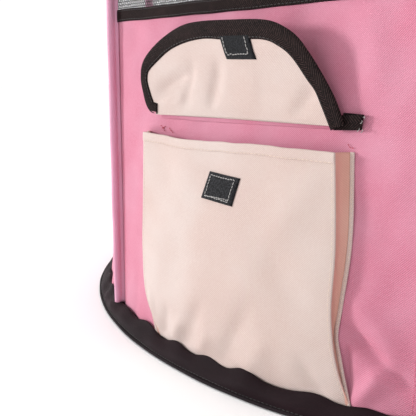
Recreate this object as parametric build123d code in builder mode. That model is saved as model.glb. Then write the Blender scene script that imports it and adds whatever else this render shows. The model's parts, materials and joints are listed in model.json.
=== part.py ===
from build123d import *
import os
from math import asin, cos, radians, sin, tan

# A soft-sided pet pen: eight cloth walls with mesh windows on a round floor, held up by a rod
# in a sleeve at each corner. Millimetres, +Z up. The origin is the centre of the floor's
# underside, and the wall with the pocket faces -Y.

# Overall
SIDES = 8
ACROSS_FLATS = 790.0
RIM_HEIGHT = 427.0
WALL_TOP = 294.0
CLOTH = 1.6
MESH = 0.8

# Base
FLOOR_THICKNESS = 2.5
BASE_OVERHANG = 15.0
BAND_HEIGHT = 15.0
BAND_SHOULDER_HEIGHT = 9.5
BAND_SHOULDER_INSET = 2.5
BAND_LIP = 0.8
PIPING_SIZE = 2.6
PIPING_LIFT = 0.2

# Edge tapes
TAPE_THICKNESS = 1.0
WINDOW_TAPE_WIDTH = 11.0
RIM_TAPE_WIDTH = 12.0
TAPE_LAP = 6.0

# Corner sleeves and rods
SLEEVE_DEPTH = 9.5
SLEEVE_WIDTH = 6.4
SLEEVE_CORNER = 2.4
ROD_DIAMETER = 4.0
ROD_CLEARANCE = 0.15
ROD_END_GAP = 0.5

# Pocket
POCKET_CENTRE = -2.3
POCKET_WIDTH = 202.0
POCKET_TOP = 189.0
POCKET_BOTTOM = 22.0
POCKET_DEPTH = 11.0
HEM_WIDTH = 7.0
HEM_THICKNESS = 0.8

# Pocket flap, standing open
FLAP_HINGE_HEIGHT = 206.0
FLAP_HINGE_LIFT = 3.7
FLAP_WIDTH = 204.0
FLAP_LENGTH = 73.0
FLAP_CORNER = 66.0
FLAP_LEAN = 10.0
FLAP_THICKNESS = 1.8
FLAP_TAPE_WIDTH = 12.5
FLAP_TAPE_SKIN = 0.6
FLAP_ROOT_GAP = 0.5
SEAM_WIDTH = 194.0
SEAM_HEIGHT = 4.0

# Hook and loop patches
PATCH_WIDTH = 34.0
LOOP_HEIGHT = 22.0
HOOK_HEIGHT = 15.0
PATCH_REACH = 52.0
PATCH_THICKNESS = 1.5
LOOP_TILT = -12.0
LOOP_SHIFT = 2.7
HOOK_SHIFT = 14.0

# Zips
ZIP_TAPE_WIDTH = 13.0
ZIP_THICKNESS = 1.4
ZIP_GAP = 0.4
CHAIN_HALF_WIDTH = 3.0
RIM_ZIP_LINE = 13.0

# Roof
ROOF_TAPE_LAP = 6.0
ROOF_HINGE_LIFT = 0.6

# Door, in the wall that faces +X
DOOR_SIDE = 2
DOOR_WIDTH = 196.0
DOOR_BOTTOM = 40.0
DOOR_TOP = 262.0
DOOR_CORNER = 32.0
DOOR_GAP = 1.0
SLIDER_INSET = 6.5
ROOF_SLIDER_PARK = 9.5

# Slider and pull tab, one pair on the door's zip and one on the roof's
SLIDER_WIDTH = 7.0
SLIDER_LENGTH = 9.0
SLIDER_THICKNESS = 2.0
SLIDER_CLEARANCE = 1.0
LUG_THICKNESS = 1.0
LUG_LENGTH = 4.0
LUG_HEIGHT = 3.0
LUG_INNER = 2.2
PIN_DIAMETER = 1.4
PIN_CLEARANCE = 0.05
PIN_LIFT = 1.8
BARREL_DIAMETER = 3.0
BARREL_SIDE_GAP = 0.4
PULL_LENGTH = 17.0
PULL_WIDTH = 6.0
PULL_THICKNESS = 1.2

# Derived
HALF_ANGLE = 180.0 / SIDES
APOTHEM = ACROSS_FLATS / 2
CORNER_RADIUS = APOTHEM / cos(radians(HALF_ANGLE))
BASE_RADIUS = CORNER_RADIUS + BASE_OVERHANG
TAPE_BOTTOM = WALL_TOP - TAPE_LAP
FLARE = CORNER_RADIUS - APOTHEM
FLARE_HEIGHT = TAPE_BOTTOM - BAND_HEIGHT
ZIP_TOP = RIM_HEIGHT + ZIP_THICKNESS


def turned(angle):
    """The sideways and outward directions of a wall or corner this many degrees round."""
    across = Vector(cos(radians(angle)), sin(radians(angle)), 0)
    outward = Vector(sin(radians(angle)), -cos(radians(angle)), 0)
    return across, outward


def level(side, height):
    """A horizontal plane at this height, with -Y pointing out through the given wall."""
    return Plane(origin=(0, 0, height), x_dir=turned(side * 2 * HALF_ANGLE)[0], z_dir=(0, 0, 1))


def upright(side):
    """A vertical plane through the middle of the pen, facing out through the given wall."""
    across, outward = turned(side * 2 * HALF_ANGLE)
    return Plane(origin=(0, 0, 0), x_dir=across, z_dir=outward)


def straight_section(side, height, inner, outer):
    """Section of one wall's layer where it is flat, between two distances out from its face."""
    near = APOTHEM + inner
    far = APOTHEM + outer
    slope = tan(radians(HALF_ANGLE))
    with BuildSketch(level(side, height)) as section:
        with BuildLine():
            Polyline(
                (-far * slope, -far),
                (far * slope, -far),
                (near * slope, -near),
                (-near * slope, -near),
                close=True,
            )
        make_face()
    return section.sketch


def round_section(side, height, inner, outer):
    """Section of the same layer where it meets the round base."""
    near = CORNER_RADIUS + inner
    far = CORNER_RADIUS + outer
    across = sin(radians(HALF_ANGLE))
    out = cos(radians(HALF_ANGLE))
    with BuildSketch(level(side, height)) as section:
        with BuildLine():
            ThreePointArc((-far * across, -far * out), (0, -far), (far * across, -far * out))
            Line((far * across, -far * out), (near * across, -near * out))
            ThreePointArc((near * across, -near * out), (0, -near), (-near * across, -near * out))
            Line((-near * across, -near * out), (-far * across, -far * out))
        make_face()
    return section.sketch


def layer(side, inner, outer):
    """The whole flared layer of one wall, between two distances out from its face."""
    low = round_section(side, BAND_HEIGHT, inner, outer)
    high = straight_section(side, TAPE_BOTTOM, inner, outer)
    with BuildPart() as skin:
        loft([low, high], ruled=True)
    return skin.part


def face_out(height, across=0.0):
    """How far out the front wall's face stands at a height and a distance from its middle."""
    share = (TAPE_BOTTOM - height) / FLARE_HEIGHT
    turn = asin(across / CORNER_RADIUS)
    return APOTHEM + (CORNER_RADIUS * cos(turn) - APOTHEM) * share


def octagon_ring(height, inner, outer, thickness):
    """An eight-sided flat ring between two across-flats half widths."""
    with BuildPart() as ring:
        with BuildSketch(Plane.XY.offset(height)):
            RegularPolygon(outer, SIDES, major_radius=False, rotation=HALF_ANGLE)
            RegularPolygon(inner, SIDES, major_radius=False, rotation=HALF_ANGLE, mode=Mode.SUBTRACT)
        extrude(amount=thickness)
    return ring.part


def door_outline(margin, top):
    """The door's outline on its wall, this far outside the line where the two zip halves meet."""
    bottom = DOOR_BOTTOM - margin
    with BuildSketch(upright(DOOR_SIDE)) as outline:
        with Locations((0, (top + bottom) / 2)):
            Rectangle(DOOR_WIDTH + 2 * margin, top - bottom)
        fillet(outline.vertices().sort_by(Axis.Y)[:2], DOOR_CORNER + margin)
    return outline.sketch


def slider_on(plane):
    """A zip slider on the plane of a zip's face, with the zip running along the plane's Y."""
    top = SLIDER_CLEARANCE + SLIDER_THICKNESS
    with BuildPart() as slider:
        with BuildSketch(plane.offset(SLIDER_CLEARANCE)) as foot:
            Rectangle(SLIDER_WIDTH, SLIDER_LENGTH)
            fillet(foot.vertices(), 1.2)
        extrude(amount=SLIDER_THICKNESS)
        with BuildSketch(plane.offset(top)):
            with Locations((LUG_INNER + LUG_THICKNESS / 2, 0), (-LUG_INNER - LUG_THICKNESS / 2, 0)):
                Rectangle(LUG_THICKNESS, LUG_LENGTH)
        extrude(amount=LUG_HEIGHT)
        with BuildSketch(pin_plane(plane)):
            Circle(PIN_DIAMETER / 2)
        extrude(amount=LUG_INNER, both=True)
    return slider.part


def pull_on(plane):
    """The pull tab on that slider's pin, lying back along the plane's -Y."""
    half_barrel = LUG_INNER - BARREL_SIDE_GAP
    neck = LUG_LENGTH / 2 + BARREL_SIDE_GAP
    pin_height = SLIDER_CLEARANCE + SLIDER_THICKNESS + PIN_LIFT
    with BuildPart() as pull:
        with BuildSketch(pin_plane(plane)):
            Circle(BARREL_DIAMETER / 2)
        extrude(amount=half_barrel, both=True)
        with BuildSketch(plane.offset(pin_height - PULL_THICKNESS / 2)):
            with Locations((0, -neck / 2)):
                Rectangle(2 * half_barrel, neck)
        extrude(amount=PULL_THICKNESS)
        with BuildSketch(plane.offset(pin_height - PULL_THICKNESS / 2)) as tab:
            with Locations((0, -(neck + PULL_LENGTH) / 2)):
                Rectangle(PULL_WIDTH, PULL_LENGTH - neck)
            fillet(tab.vertices(), 1.5)
            with Locations((0, -PULL_LENGTH + 4.5)):
                Circle(1.4, mode=Mode.SUBTRACT)
        extrude(amount=PULL_THICKNESS)
        with BuildSketch(pin_plane(plane)):
            Circle(PIN_DIAMETER / 2 + PIN_CLEARANCE)
        extrude(amount=LUG_INNER, both=True, mode=Mode.SUBTRACT)
    return pull.part


def pin_plane(plane):
    """The plane across a slider's pin, at the pin's middle."""
    height = SLIDER_CLEARANCE + SLIDER_THICKNESS + PIN_LIFT
    return Plane(origin=plane.from_local_coords((0, 0, height)), x_dir=plane.y_dir, z_dir=plane.x_dir)


def save(name, piece):
    """Name a piece and write it to its own file."""
    piece.label = name
    export_step(piece, f"parts/{name}.step")


os.makedirs("parts", exist_ok=True)

# Base: floor, soft band round its edge, and the piping on the band's hem
band_inner = CORNER_RADIUS - 2.0
piping_inner = BASE_RADIUS - PIPING_SIZE
piping_top = PIPING_LIFT + PIPING_SIZE

with BuildPart() as base_floor:
    with BuildSketch():
        Circle(band_inner)
    extrude(amount=FLOOR_THICKNESS)
save("base_floor", base_floor.part)

with BuildPart() as base_band:
    with BuildSketch(Plane.XZ):
        with BuildLine():
            Polyline(
                (band_inner, 0),
                (piping_inner, 0),
                (piping_inner, piping_top),
                (piping_inner - BAND_SHOULDER_INSET, BAND_SHOULDER_HEIGHT),
                (CORNER_RADIUS + BAND_LIP, BAND_HEIGHT),
                (band_inner, BAND_HEIGHT),
                close=True,
            )
        make_face()
    revolve(axis=Axis.Z)
save("base_band", base_band.part)

with BuildPart() as base_piping:
    with BuildSketch(Plane.XY.offset(PIPING_LIFT)):
        Circle(BASE_RADIUS)
        Circle(piping_inner, mode=Mode.SUBTRACT)
    extrude(amount=PIPING_SIZE)
save("base_piping", base_piping.part)

# Walls, flaring from a straight top to the round base
door_hole = door_outline(CHAIN_HALF_WIDTH, DOOR_TOP)
for side in range(SIDES):
    flared = layer(side, -CLOTH, 0)
    upper = straight_section(side, TAPE_BOTTOM, -CLOTH, 0)
    with BuildPart() as wall:
        add(flared)
        extrude(upper, amount=TAPE_LAP)
        if side == DOOR_SIDE:
            extrude(door_hole, amount=2 * APOTHEM, mode=Mode.SUBTRACT)
    save(f"wall_{side + 1}", wall.part)

# Mesh windows, from the walls' top edges to the rim
for side in range(SIDES):
    sheet = straight_section(side, WALL_TOP, -MESH, 0)
    with BuildPart() as window:
        extrude(sheet, amount=RIM_HEIGHT - WALL_TOP)
    save(f"window_{side + 1}", window.part)

# Tapes sewn over the windows' lower edges and round the rim
window_tape = octagon_ring(TAPE_BOTTOM, APOTHEM, APOTHEM + TAPE_THICKNESS, WINDOW_TAPE_WIDTH)
save("window_tape", window_tape)

rim_tape = octagon_ring(
    RIM_HEIGHT - RIM_TAPE_WIDTH, APOTHEM, APOTHEM + TAPE_THICKNESS, RIM_TAPE_WIDTH
)
save("rim_tape", rim_tape)

# Corner sleeves, each with a rod inside
sleeve_height = RIM_HEIGHT - BAND_HEIGHT
rod_out = CORNER_RADIUS + SLEEVE_DEPTH - SLEEVE_WIDTH / 2 - 0.2
for side in range(SIDES):
    corner_angle = (2 * side - 1) * HALF_ANGLE
    corner_plane = Plane(
        origin=(0, 0, BAND_HEIGHT), x_dir=turned(corner_angle)[1], z_dir=(0, 0, 1)
    )
    with BuildPart() as sleeve:
        with BuildSketch(corner_plane) as sleeve_section:
            with Locations((CORNER_RADIUS + SLEEVE_DEPTH / 2, 0)):
                Rectangle(SLEEVE_DEPTH, SLEEVE_WIDTH)
            fillet(sleeve_section.vertices().sort_by(Axis.X)[2:], SLEEVE_CORNER)
            with Locations((rod_out, 0)):
                Circle(ROD_DIAMETER / 2 + ROD_CLEARANCE, mode=Mode.SUBTRACT)
        extrude(amount=sleeve_height)
        add(window_tape, mode=Mode.SUBTRACT)
        add(rim_tape, mode=Mode.SUBTRACT)
    save(f"corner_sleeve_{side + 1}", sleeve.part)
    with BuildPart() as rod:
        with BuildSketch(corner_plane.offset(ROD_END_GAP)):
            with Locations((rod_out, 0)):
                Circle(ROD_DIAMETER / 2)
        extrude(amount=sleeve_height - 2 * ROD_END_GAP)
    save(f"corner_rod_{side + 1}", rod.part)

# Pocket: front, bellows gusset round three sides, and the hem along its top
front_face = POCKET_DEPTH
front_back = POCKET_DEPTH - CLOTH
pocket_height = POCKET_TOP - POCKET_BOTTOM
pocket_middle = (POCKET_TOP + POCKET_BOTTOM) / 2

front_layer = layer(0, front_back, front_face)
inner_layer = layer(0, 0, front_back)
hem_layer = layer(0, front_face, front_face + HEM_THICKNESS)
patch_layer = layer(0, front_face, front_face + PATCH_THICKNESS)
behind_layer = layer(0, -FLARE, 0)

with BuildPart() as pocket_front:
    add(front_layer)
    with BuildSketch(upright(0)):
        with Locations((POCKET_CENTRE, pocket_middle)):
            Rectangle(POCKET_WIDTH, pocket_height)
    extrude(amount=2 * APOTHEM, mode=Mode.INTERSECT)
save("pocket_front", pocket_front.part)

with BuildPart() as pocket_gusset:
    add(inner_layer)
    with BuildSketch(upright(0)):
        with Locations((POCKET_CENTRE, pocket_middle)):
            Rectangle(POCKET_WIDTH, pocket_height)
        with Locations((POCKET_CENTRE, pocket_middle + CLOTH)):
            Rectangle(POCKET_WIDTH - 2 * CLOTH, pocket_height, mode=Mode.SUBTRACT)
    extrude(amount=2 * APOTHEM, mode=Mode.INTERSECT)
save("pocket_gusset", pocket_gusset.part)

with BuildPart() as pocket_hem:
    add(hem_layer)
    with BuildSketch(upright(0)):
        with Locations((POCKET_CENTRE, POCKET_TOP - HEM_WIDTH / 2)):
            Rectangle(POCKET_WIDTH, HEM_WIDTH)
    extrude(amount=2 * APOTHEM, mode=Mode.INTERSECT)
save("pocket_hem", pocket_hem.part)

with BuildPart() as loop_patch:
    add(patch_layer)
    with BuildSketch(upright(0)):
        loop_place = (POCKET_CENTRE + LOOP_SHIFT, FLAP_HINGE_HEIGHT - PATCH_REACH)
        with Locations(Location(loop_place, LOOP_TILT)):
            RectangleRounded(PATCH_WIDTH, LOOP_HEIGHT, 1.0)
    extrude(amount=APOTHEM + 2 * POCKET_DEPTH + 40, mode=Mode.INTERSECT)
save("loop_patch", loop_patch.part)

# Flap, standing open above the pocket, and the seam that holds it to the wall
hinge_out = face_out(FLAP_HINGE_HEIGHT) + FLAP_HINGE_LIFT
lean = radians(FLAP_LEAN)
flap_plane = Plane(
    origin=(POCKET_CENTRE, -hinge_out, FLAP_HINGE_HEIGHT),
    x_dir=(1, 0, 0),
    z_dir=(0, -cos(lean), -sin(lean)),
)


def flap_outline(inset, root, depth):
    """The flap's outline this far inside its edge, above the hinge and behind the flap's face."""
    height = FLAP_LENGTH - inset - root
    with BuildSketch(flap_plane.offset(-depth)) as outline:
        with Locations((0, root + height / 2)):
            Rectangle(FLAP_WIDTH - 2 * inset, height)
        fillet(outline.vertices().sort_by(Axis.Y)[2:], FLAP_CORNER - inset)
    return outline.sketch


flap_shape = flap_outline(FLAP_TAPE_SKIN, FLAP_ROOT_GAP, FLAP_THICKNESS)
tape_shape = flap_outline(0, FLAP_ROOT_GAP, FLAP_THICKNESS + FLAP_TAPE_SKIN)
tape_inside = flap_outline(FLAP_TAPE_WIDTH, 0, 2 * FLAP_THICKNESS)

with BuildPart() as flap:
    extrude(flap_shape, amount=FLAP_THICKNESS)
save("flap", flap.part)

with BuildPart() as flap_tape:
    extrude(tape_shape, amount=FLAP_THICKNESS + 2 * FLAP_TAPE_SKIN)
    extrude(tape_inside, amount=4 * FLAP_THICKNESS, mode=Mode.SUBTRACT)
    add(flap.part, mode=Mode.SUBTRACT)
save("flap_tape", flap_tape.part)

with BuildPart() as hook_patch:
    with BuildSketch(flap_plane):
        with Locations((HOOK_SHIFT, PATCH_REACH)):
            RectangleRounded(PATCH_WIDTH, HOOK_HEIGHT, 1.0)
    extrude(amount=PATCH_THICKNESS)
save("hook_patch", hook_patch.part)

seam_out = hinge_out - FLAP_THICKNESS - FLAP_TAPE_SKIN - ZIP_GAP
with BuildPart() as flap_seam:
    with BuildSketch(upright(0)):
        with Locations((POCKET_CENTRE, FLAP_HINGE_HEIGHT)):
            Rectangle(SEAM_WIDTH, SEAM_HEIGHT)
    extrude(amount=seam_out)
    with BuildSketch(upright(0)):
        with Locations((POCKET_CENTRE, FLAP_HINGE_HEIGHT)):
            Rectangle(2 * SEAM_WIDTH, 2 * SEAM_HEIGHT)
    extrude(amount=APOTHEM - CLOTH, mode=Mode.SUBTRACT)
    add(behind_layer, mode=Mode.SUBTRACT)
save("flap_seam", flap_seam.part)

# Roof: zip round the rim, mesh sheet, and the tape over the mesh's edge
zip_line = APOTHEM + TAPE_THICKNESS - RIM_ZIP_LINE
roof_zip_inner = zip_line - ZIP_TAPE_WIDTH

rim_zip = octagon_ring(
    RIM_HEIGHT, zip_line + ZIP_GAP / 2, APOTHEM + TAPE_THICKNESS, ZIP_THICKNESS
)
save("rim_zip", rim_zip)

roof_zip = octagon_ring(RIM_HEIGHT, roof_zip_inner, zip_line - ZIP_GAP / 2, ZIP_THICKNESS)
save("roof_zip", roof_zip)

with BuildPart() as roof_mesh:
    with BuildSketch(Plane.XY.offset(ZIP_TOP - MESH)):
        RegularPolygon(roof_zip_inner, SIDES, major_radius=False, rotation=HALF_ANGLE)
    extrude(amount=MESH)
save("roof_mesh", roof_mesh.part)

roof_tape = octagon_ring(
    ZIP_TOP, roof_zip_inner - ROOF_TAPE_LAP, roof_zip_inner + ROOF_TAPE_LAP, TAPE_THICKNESS
)
save("roof_tape", roof_tape)

# Door: cloth panel and the two halves of its zip
door_panel_top = DOOR_TOP - DOOR_GAP
zip_tail = TAPE_BOTTOM - DOOR_TOP

door_layer = layer(DOOR_SIDE, -CLOTH, 0)
zip_layer = layer(DOOR_SIDE, 0, ZIP_THICKNESS)
panel_shape = door_outline(-CHAIN_HALF_WIDTH, door_panel_top)
inner_tape = door_outline(-ZIP_GAP / 2, door_panel_top)
inner_tape_hole = door_outline(-ZIP_TAPE_WIDTH, TAPE_BOTTOM)
outer_tape = door_outline(ZIP_TAPE_WIDTH, TAPE_BOTTOM)
outer_tape_hole = door_outline(ZIP_GAP / 2, DOOR_TOP)

with BuildPart() as door:
    add(door_layer)
    extrude(panel_shape, amount=2 * APOTHEM, mode=Mode.INTERSECT)
save("door", door.part)

with BuildPart() as door_zip:
    add(zip_layer)
    extrude(inner_tape, amount=2 * APOTHEM, mode=Mode.INTERSECT)
    extrude(inner_tape_hole, amount=2 * APOTHEM, mode=Mode.SUBTRACT)
save("door_zip", door_zip.part)

with BuildPart() as door_zip_wall:
    add(zip_layer)
    extrude(outer_tape, amount=2 * APOTHEM, mode=Mode.INTERSECT)
    extrude(outer_tape_hole, amount=2 * APOTHEM, mode=Mode.SUBTRACT)
    with BuildSketch(upright(DOOR_SIDE)):
        with Locations((0, DOOR_TOP)):
            Rectangle(DOOR_WIDTH - 2 * CHAIN_HALF_WIDTH, 2 * zip_tail + 2)
    extrude(amount=2 * APOTHEM, mode=Mode.SUBTRACT)
save("door_zip_wall", door_zip_wall.part)

# Sliders and pull tabs, each parked on the tail of its zip
door_x = DOOR_WIDTH / 2
park_height = TAPE_BOTTOM - SLIDER_INSET
door_across, door_outward = turned(DOOR_SIDE * 2 * HALF_ANGLE)
run_slope = (face_out(BAND_HEIGHT, door_x) - APOTHEM) / FLARE_HEIGHT
park_out = face_out(park_height, door_x) + ZIP_THICKNESS
mid_turn = asin(door_x / CORNER_RADIUS) * 0.3
slider_out = door_outward * cos(mid_turn) + door_across * sin(mid_turn)
slider_across = door_across * cos(mid_turn) - door_outward * sin(mid_turn)
door_slider_plane = Plane(
    origin=door_across * door_x + door_outward * park_out + Vector(0, 0, park_height),
    x_dir=slider_across,
    z_dir=slider_out + Vector(0, 0, run_slope),
)
save("door_slider", slider_on(door_slider_plane))
save("door_pull", pull_on(door_slider_plane))

roof_run_side = 5
roof_across, roof_outward = turned(roof_run_side * 2 * HALF_ANGLE)
roof_park = -zip_line * tan(radians(HALF_ANGLE)) - ROOF_SLIDER_PARK
roof_slider_plane = Plane(
    origin=roof_across * roof_park + roof_outward * zip_line + Vector(0, 0, ZIP_TOP),
    x_dir=roof_outward,
    z_dir=(0, 0, 1),
)
save("roof_slider", slider_on(roof_slider_plane))
save("roof_pull", pull_on(roof_slider_plane))
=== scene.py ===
"""The looks of a soft-sided eight-sided pet pen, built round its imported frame."""

import json
import logging
import math
from collections.abc import Callable
from dataclasses import dataclass
from enum import Enum

import bpy
import numpy as np
from mathutils import Matrix, Vector


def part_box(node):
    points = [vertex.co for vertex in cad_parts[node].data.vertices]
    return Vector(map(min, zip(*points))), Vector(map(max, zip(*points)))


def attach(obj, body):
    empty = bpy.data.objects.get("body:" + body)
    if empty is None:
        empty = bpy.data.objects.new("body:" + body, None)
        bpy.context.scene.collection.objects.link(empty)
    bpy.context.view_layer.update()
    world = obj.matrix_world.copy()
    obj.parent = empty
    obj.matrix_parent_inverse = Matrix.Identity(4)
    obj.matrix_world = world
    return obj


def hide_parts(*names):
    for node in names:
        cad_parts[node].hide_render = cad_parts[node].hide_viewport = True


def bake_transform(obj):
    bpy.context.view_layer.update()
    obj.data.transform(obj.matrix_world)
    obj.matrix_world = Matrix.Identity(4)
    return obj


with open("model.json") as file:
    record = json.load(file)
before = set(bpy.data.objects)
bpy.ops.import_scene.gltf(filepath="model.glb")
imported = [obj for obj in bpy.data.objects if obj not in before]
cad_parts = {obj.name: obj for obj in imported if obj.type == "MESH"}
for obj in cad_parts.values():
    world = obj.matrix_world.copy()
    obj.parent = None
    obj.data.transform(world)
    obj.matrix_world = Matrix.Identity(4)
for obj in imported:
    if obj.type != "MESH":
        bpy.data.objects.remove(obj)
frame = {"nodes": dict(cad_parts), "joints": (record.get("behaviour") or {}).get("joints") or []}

Array = np.ndarray
Point = tuple[float, float, float]
Colour = tuple[float, float, float]
Piece = bpy.types.Object
Material = bpy.types.Material
Node = bpy.types.Node
Socket = bpy.types.NodeSocket
Value = Socket | float | tuple[float, ...] | None

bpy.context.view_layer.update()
UV_NAME = "weave"
SIDES = 8
TURN = 2 * math.pi / SIDES
UP = np.array([0.0, 0.0, 1.0])
# how far walls and windows run under the tape between them
LAP = 0.005

log = logging.getLogger("pen")


class Wall(Enum):
    """Walls that carry something, by their count round from the pocket."""

    POCKET = 0
    DOOR = 2
    REAR = 4


class Body(Enum):
    """The moving bodies that pieces ride on."""

    PEN = "pen"
    FLAP = "flap"
    ROOF = "roof"
    DOOR = "door"


class Slot(Enum):
    """The record's material slots."""

    WALL = "wall_cloth"
    SLEEVE = "sleeve_cloth"
    POCKET = "pocket_cloth"
    TAPE = "edge_tape"
    MESH = "mesh"
    BASE = "base_cloth"
    PIPING = "base_piping"
    HOOK = "hook_tape"
    LOOP = "loop_tape"
    ROD = "rod"
    ZIP_TAPE = "zip_tape"
    ZIP_METAL = "zip_metal"


# ---- curves and folds


def unit(vectors: Array) -> Array:
    """Vectors of length one.

    Args:
        vectors: any array whose last axis is x, y, z.

    Returns:
        The same directions, each of length one.
    """
    length = np.linalg.norm(vectors, axis=-1, keepdims=True)
    return vectors / np.maximum(length, 1e-12)


def ease(values: Array, low: float, high: float) -> Array:
    """A smooth step.

    Args:
        values: where to read it.
        low: where it is still 0.
        high: where it reaches 1.

    Returns:
        0 to 1 for each value.
    """
    share = np.clip((np.asarray(values, float) - low) / (high - low), 0, 1)
    return share * share * (3 - 2 * share)


@dataclass(frozen=True)
class Curve:
    """A smooth curve through a few points, in any number of dimensions."""

    points: tuple[tuple[float, ...], ...]

    def along(self, count: int, fine: int = 24) -> Array:
        """Evenly spaced points on the curve.

        Args:
            count: how many points to give.
            fine: points per span used while measuring its length.

        Returns:
            An array of count points.
        """
        knots = np.array(self.points, float)
        ends = np.vstack([2 * knots[0] - knots[1], knots, 2 * knots[-1] - knots[-2]])
        share = np.linspace(0, 1, fine, endpoint=False)[:, None]
        spans = []
        for k in range(len(knots) - 1):
            a, b, c, d = ends[k : k + 4]
            spans.append(
                0.5
                * (
                    2 * b
                    + (c - a) * share
                    + (2 * a - 5 * b + 4 * c - d) * share**2
                    + (3 * b - a - 3 * c + d) * share**3
                )
            )
        line = np.vstack([*spans, knots[-1:]])
        return spaced(line, count)


def spaced(line: Array, count: int) -> Array:
    """Points at equal distances along a polyline.

    Args:
        line: the polyline's points.
        count: how many points to give.

    Returns:
        An array of count points, ends included.
    """
    gone = travelled(line)
    marks = np.linspace(0, gone[-1], count)
    return np.stack([np.interp(marks, gone, line[:, k]) for k in range(line.shape[1])], 1)


def travelled(line: Array) -> Array:
    """Distance gone at each point of a polyline."""
    return np.concatenate([[0], np.cumsum(np.linalg.norm(np.diff(line, axis=0), axis=1))])


@dataclass(frozen=True)
class Profile:
    """A smooth value that depends on one other value, through a few known pairs."""

    pairs: tuple[tuple[float, float], ...]

    def at(self, where: Array) -> Array:
        """The value at some places, level beyond the ends.

        Args:
            where: the places.

        Returns:
            One value for each.
        """
        xs, ys = np.array(self.pairs, float).T
        slopes = np.gradient(ys, xs)
        x = np.clip(np.asarray(where, float), xs[0], xs[-1])
        k = np.clip(np.searchsorted(xs, x) - 1, 0, len(xs) - 2)
        span = xs[k + 1] - xs[k]
        t = (x - xs[k]) / span
        return (
            (2 * t**3 - 3 * t**2 + 1) * ys[k]
            + (t**3 - 2 * t**2 + t) * span * slopes[k]
            + (3 * t**2 - 2 * t**3) * ys[k + 1]
            + (t**3 - t**2) * span * slopes[k + 1]
        )


def ripple(a: Array, b: Array, size: float, seed: int) -> Array:
    """Soft uneven waves, the same on every run.

    Args:
        a: first coordinate, in metres.
        b: second coordinate, in metres.
        size: the waves' usual length, in metres.
        seed: which waves.

    Returns:
        Values from about -1 to 1.
    """
    draw = np.random.default_rng(seed)
    total = np.zeros(np.broadcast(a, b).shape)
    waves = 7
    for _ in range(waves):
        heading = draw.uniform(0, 2 * math.pi)
        length = size * draw.uniform(0.6, 1.7)
        phase = draw.uniform(0, 2 * math.pi)
        total += np.sin(2 * math.pi * (a * math.cos(heading) + b * math.sin(heading)) / length + phase)
    return total / math.sqrt(waves * 2)


@dataclass(frozen=True)
class Fold:
    """One soft crease in a cloth, from one place to another, in metres."""

    start: tuple[float, float]
    end: tuple[float, float]
    width: float
    height: float

    def lift(self, a: Array, b: Array) -> Array:
        """How far the crease lifts the cloth.

        Args:
            a: first coordinate of each place.
            b: second coordinate.

        Returns:
            The lift at each place, in metres.
        """
        start, end = np.array(self.start), np.array(self.end)
        run = end - start
        length = float(np.hypot(*run))
        along = ((a - start[0]) * run[0] + (b - start[1]) * run[1]) / length**2
        aside = ((a - start[0]) * run[1] - (b - start[1]) * run[0]) / length
        ends = ease(along, -0.25, 0.25) * (1 - ease(along, 0.6, 1.2))
        return self.height * np.exp(-((aside / self.width) ** 2)) * ends


# ---- meshes


def normals_of(points: Array, facing: Array, wrap: bool = False) -> Array:
    """Unit normals of a grid of points.

    Args:
        points: rows by columns by 3.
        facing: a direction, or one per point, that the normals point along.
        wrap: whether the last column meets the first.

    Returns:
        One normal per point.
    """
    across = (
        np.roll(points, -1, axis=1) - np.roll(points, 1, axis=1)
        if wrap
        else np.gradient(points, axis=1)
    )
    normals = unit(np.cross(across, np.gradient(points, axis=0)))
    agree = np.sum(normals * facing, axis=-1, keepdims=True)
    return np.where(agree.mean() < 0, -normals, normals)


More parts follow.
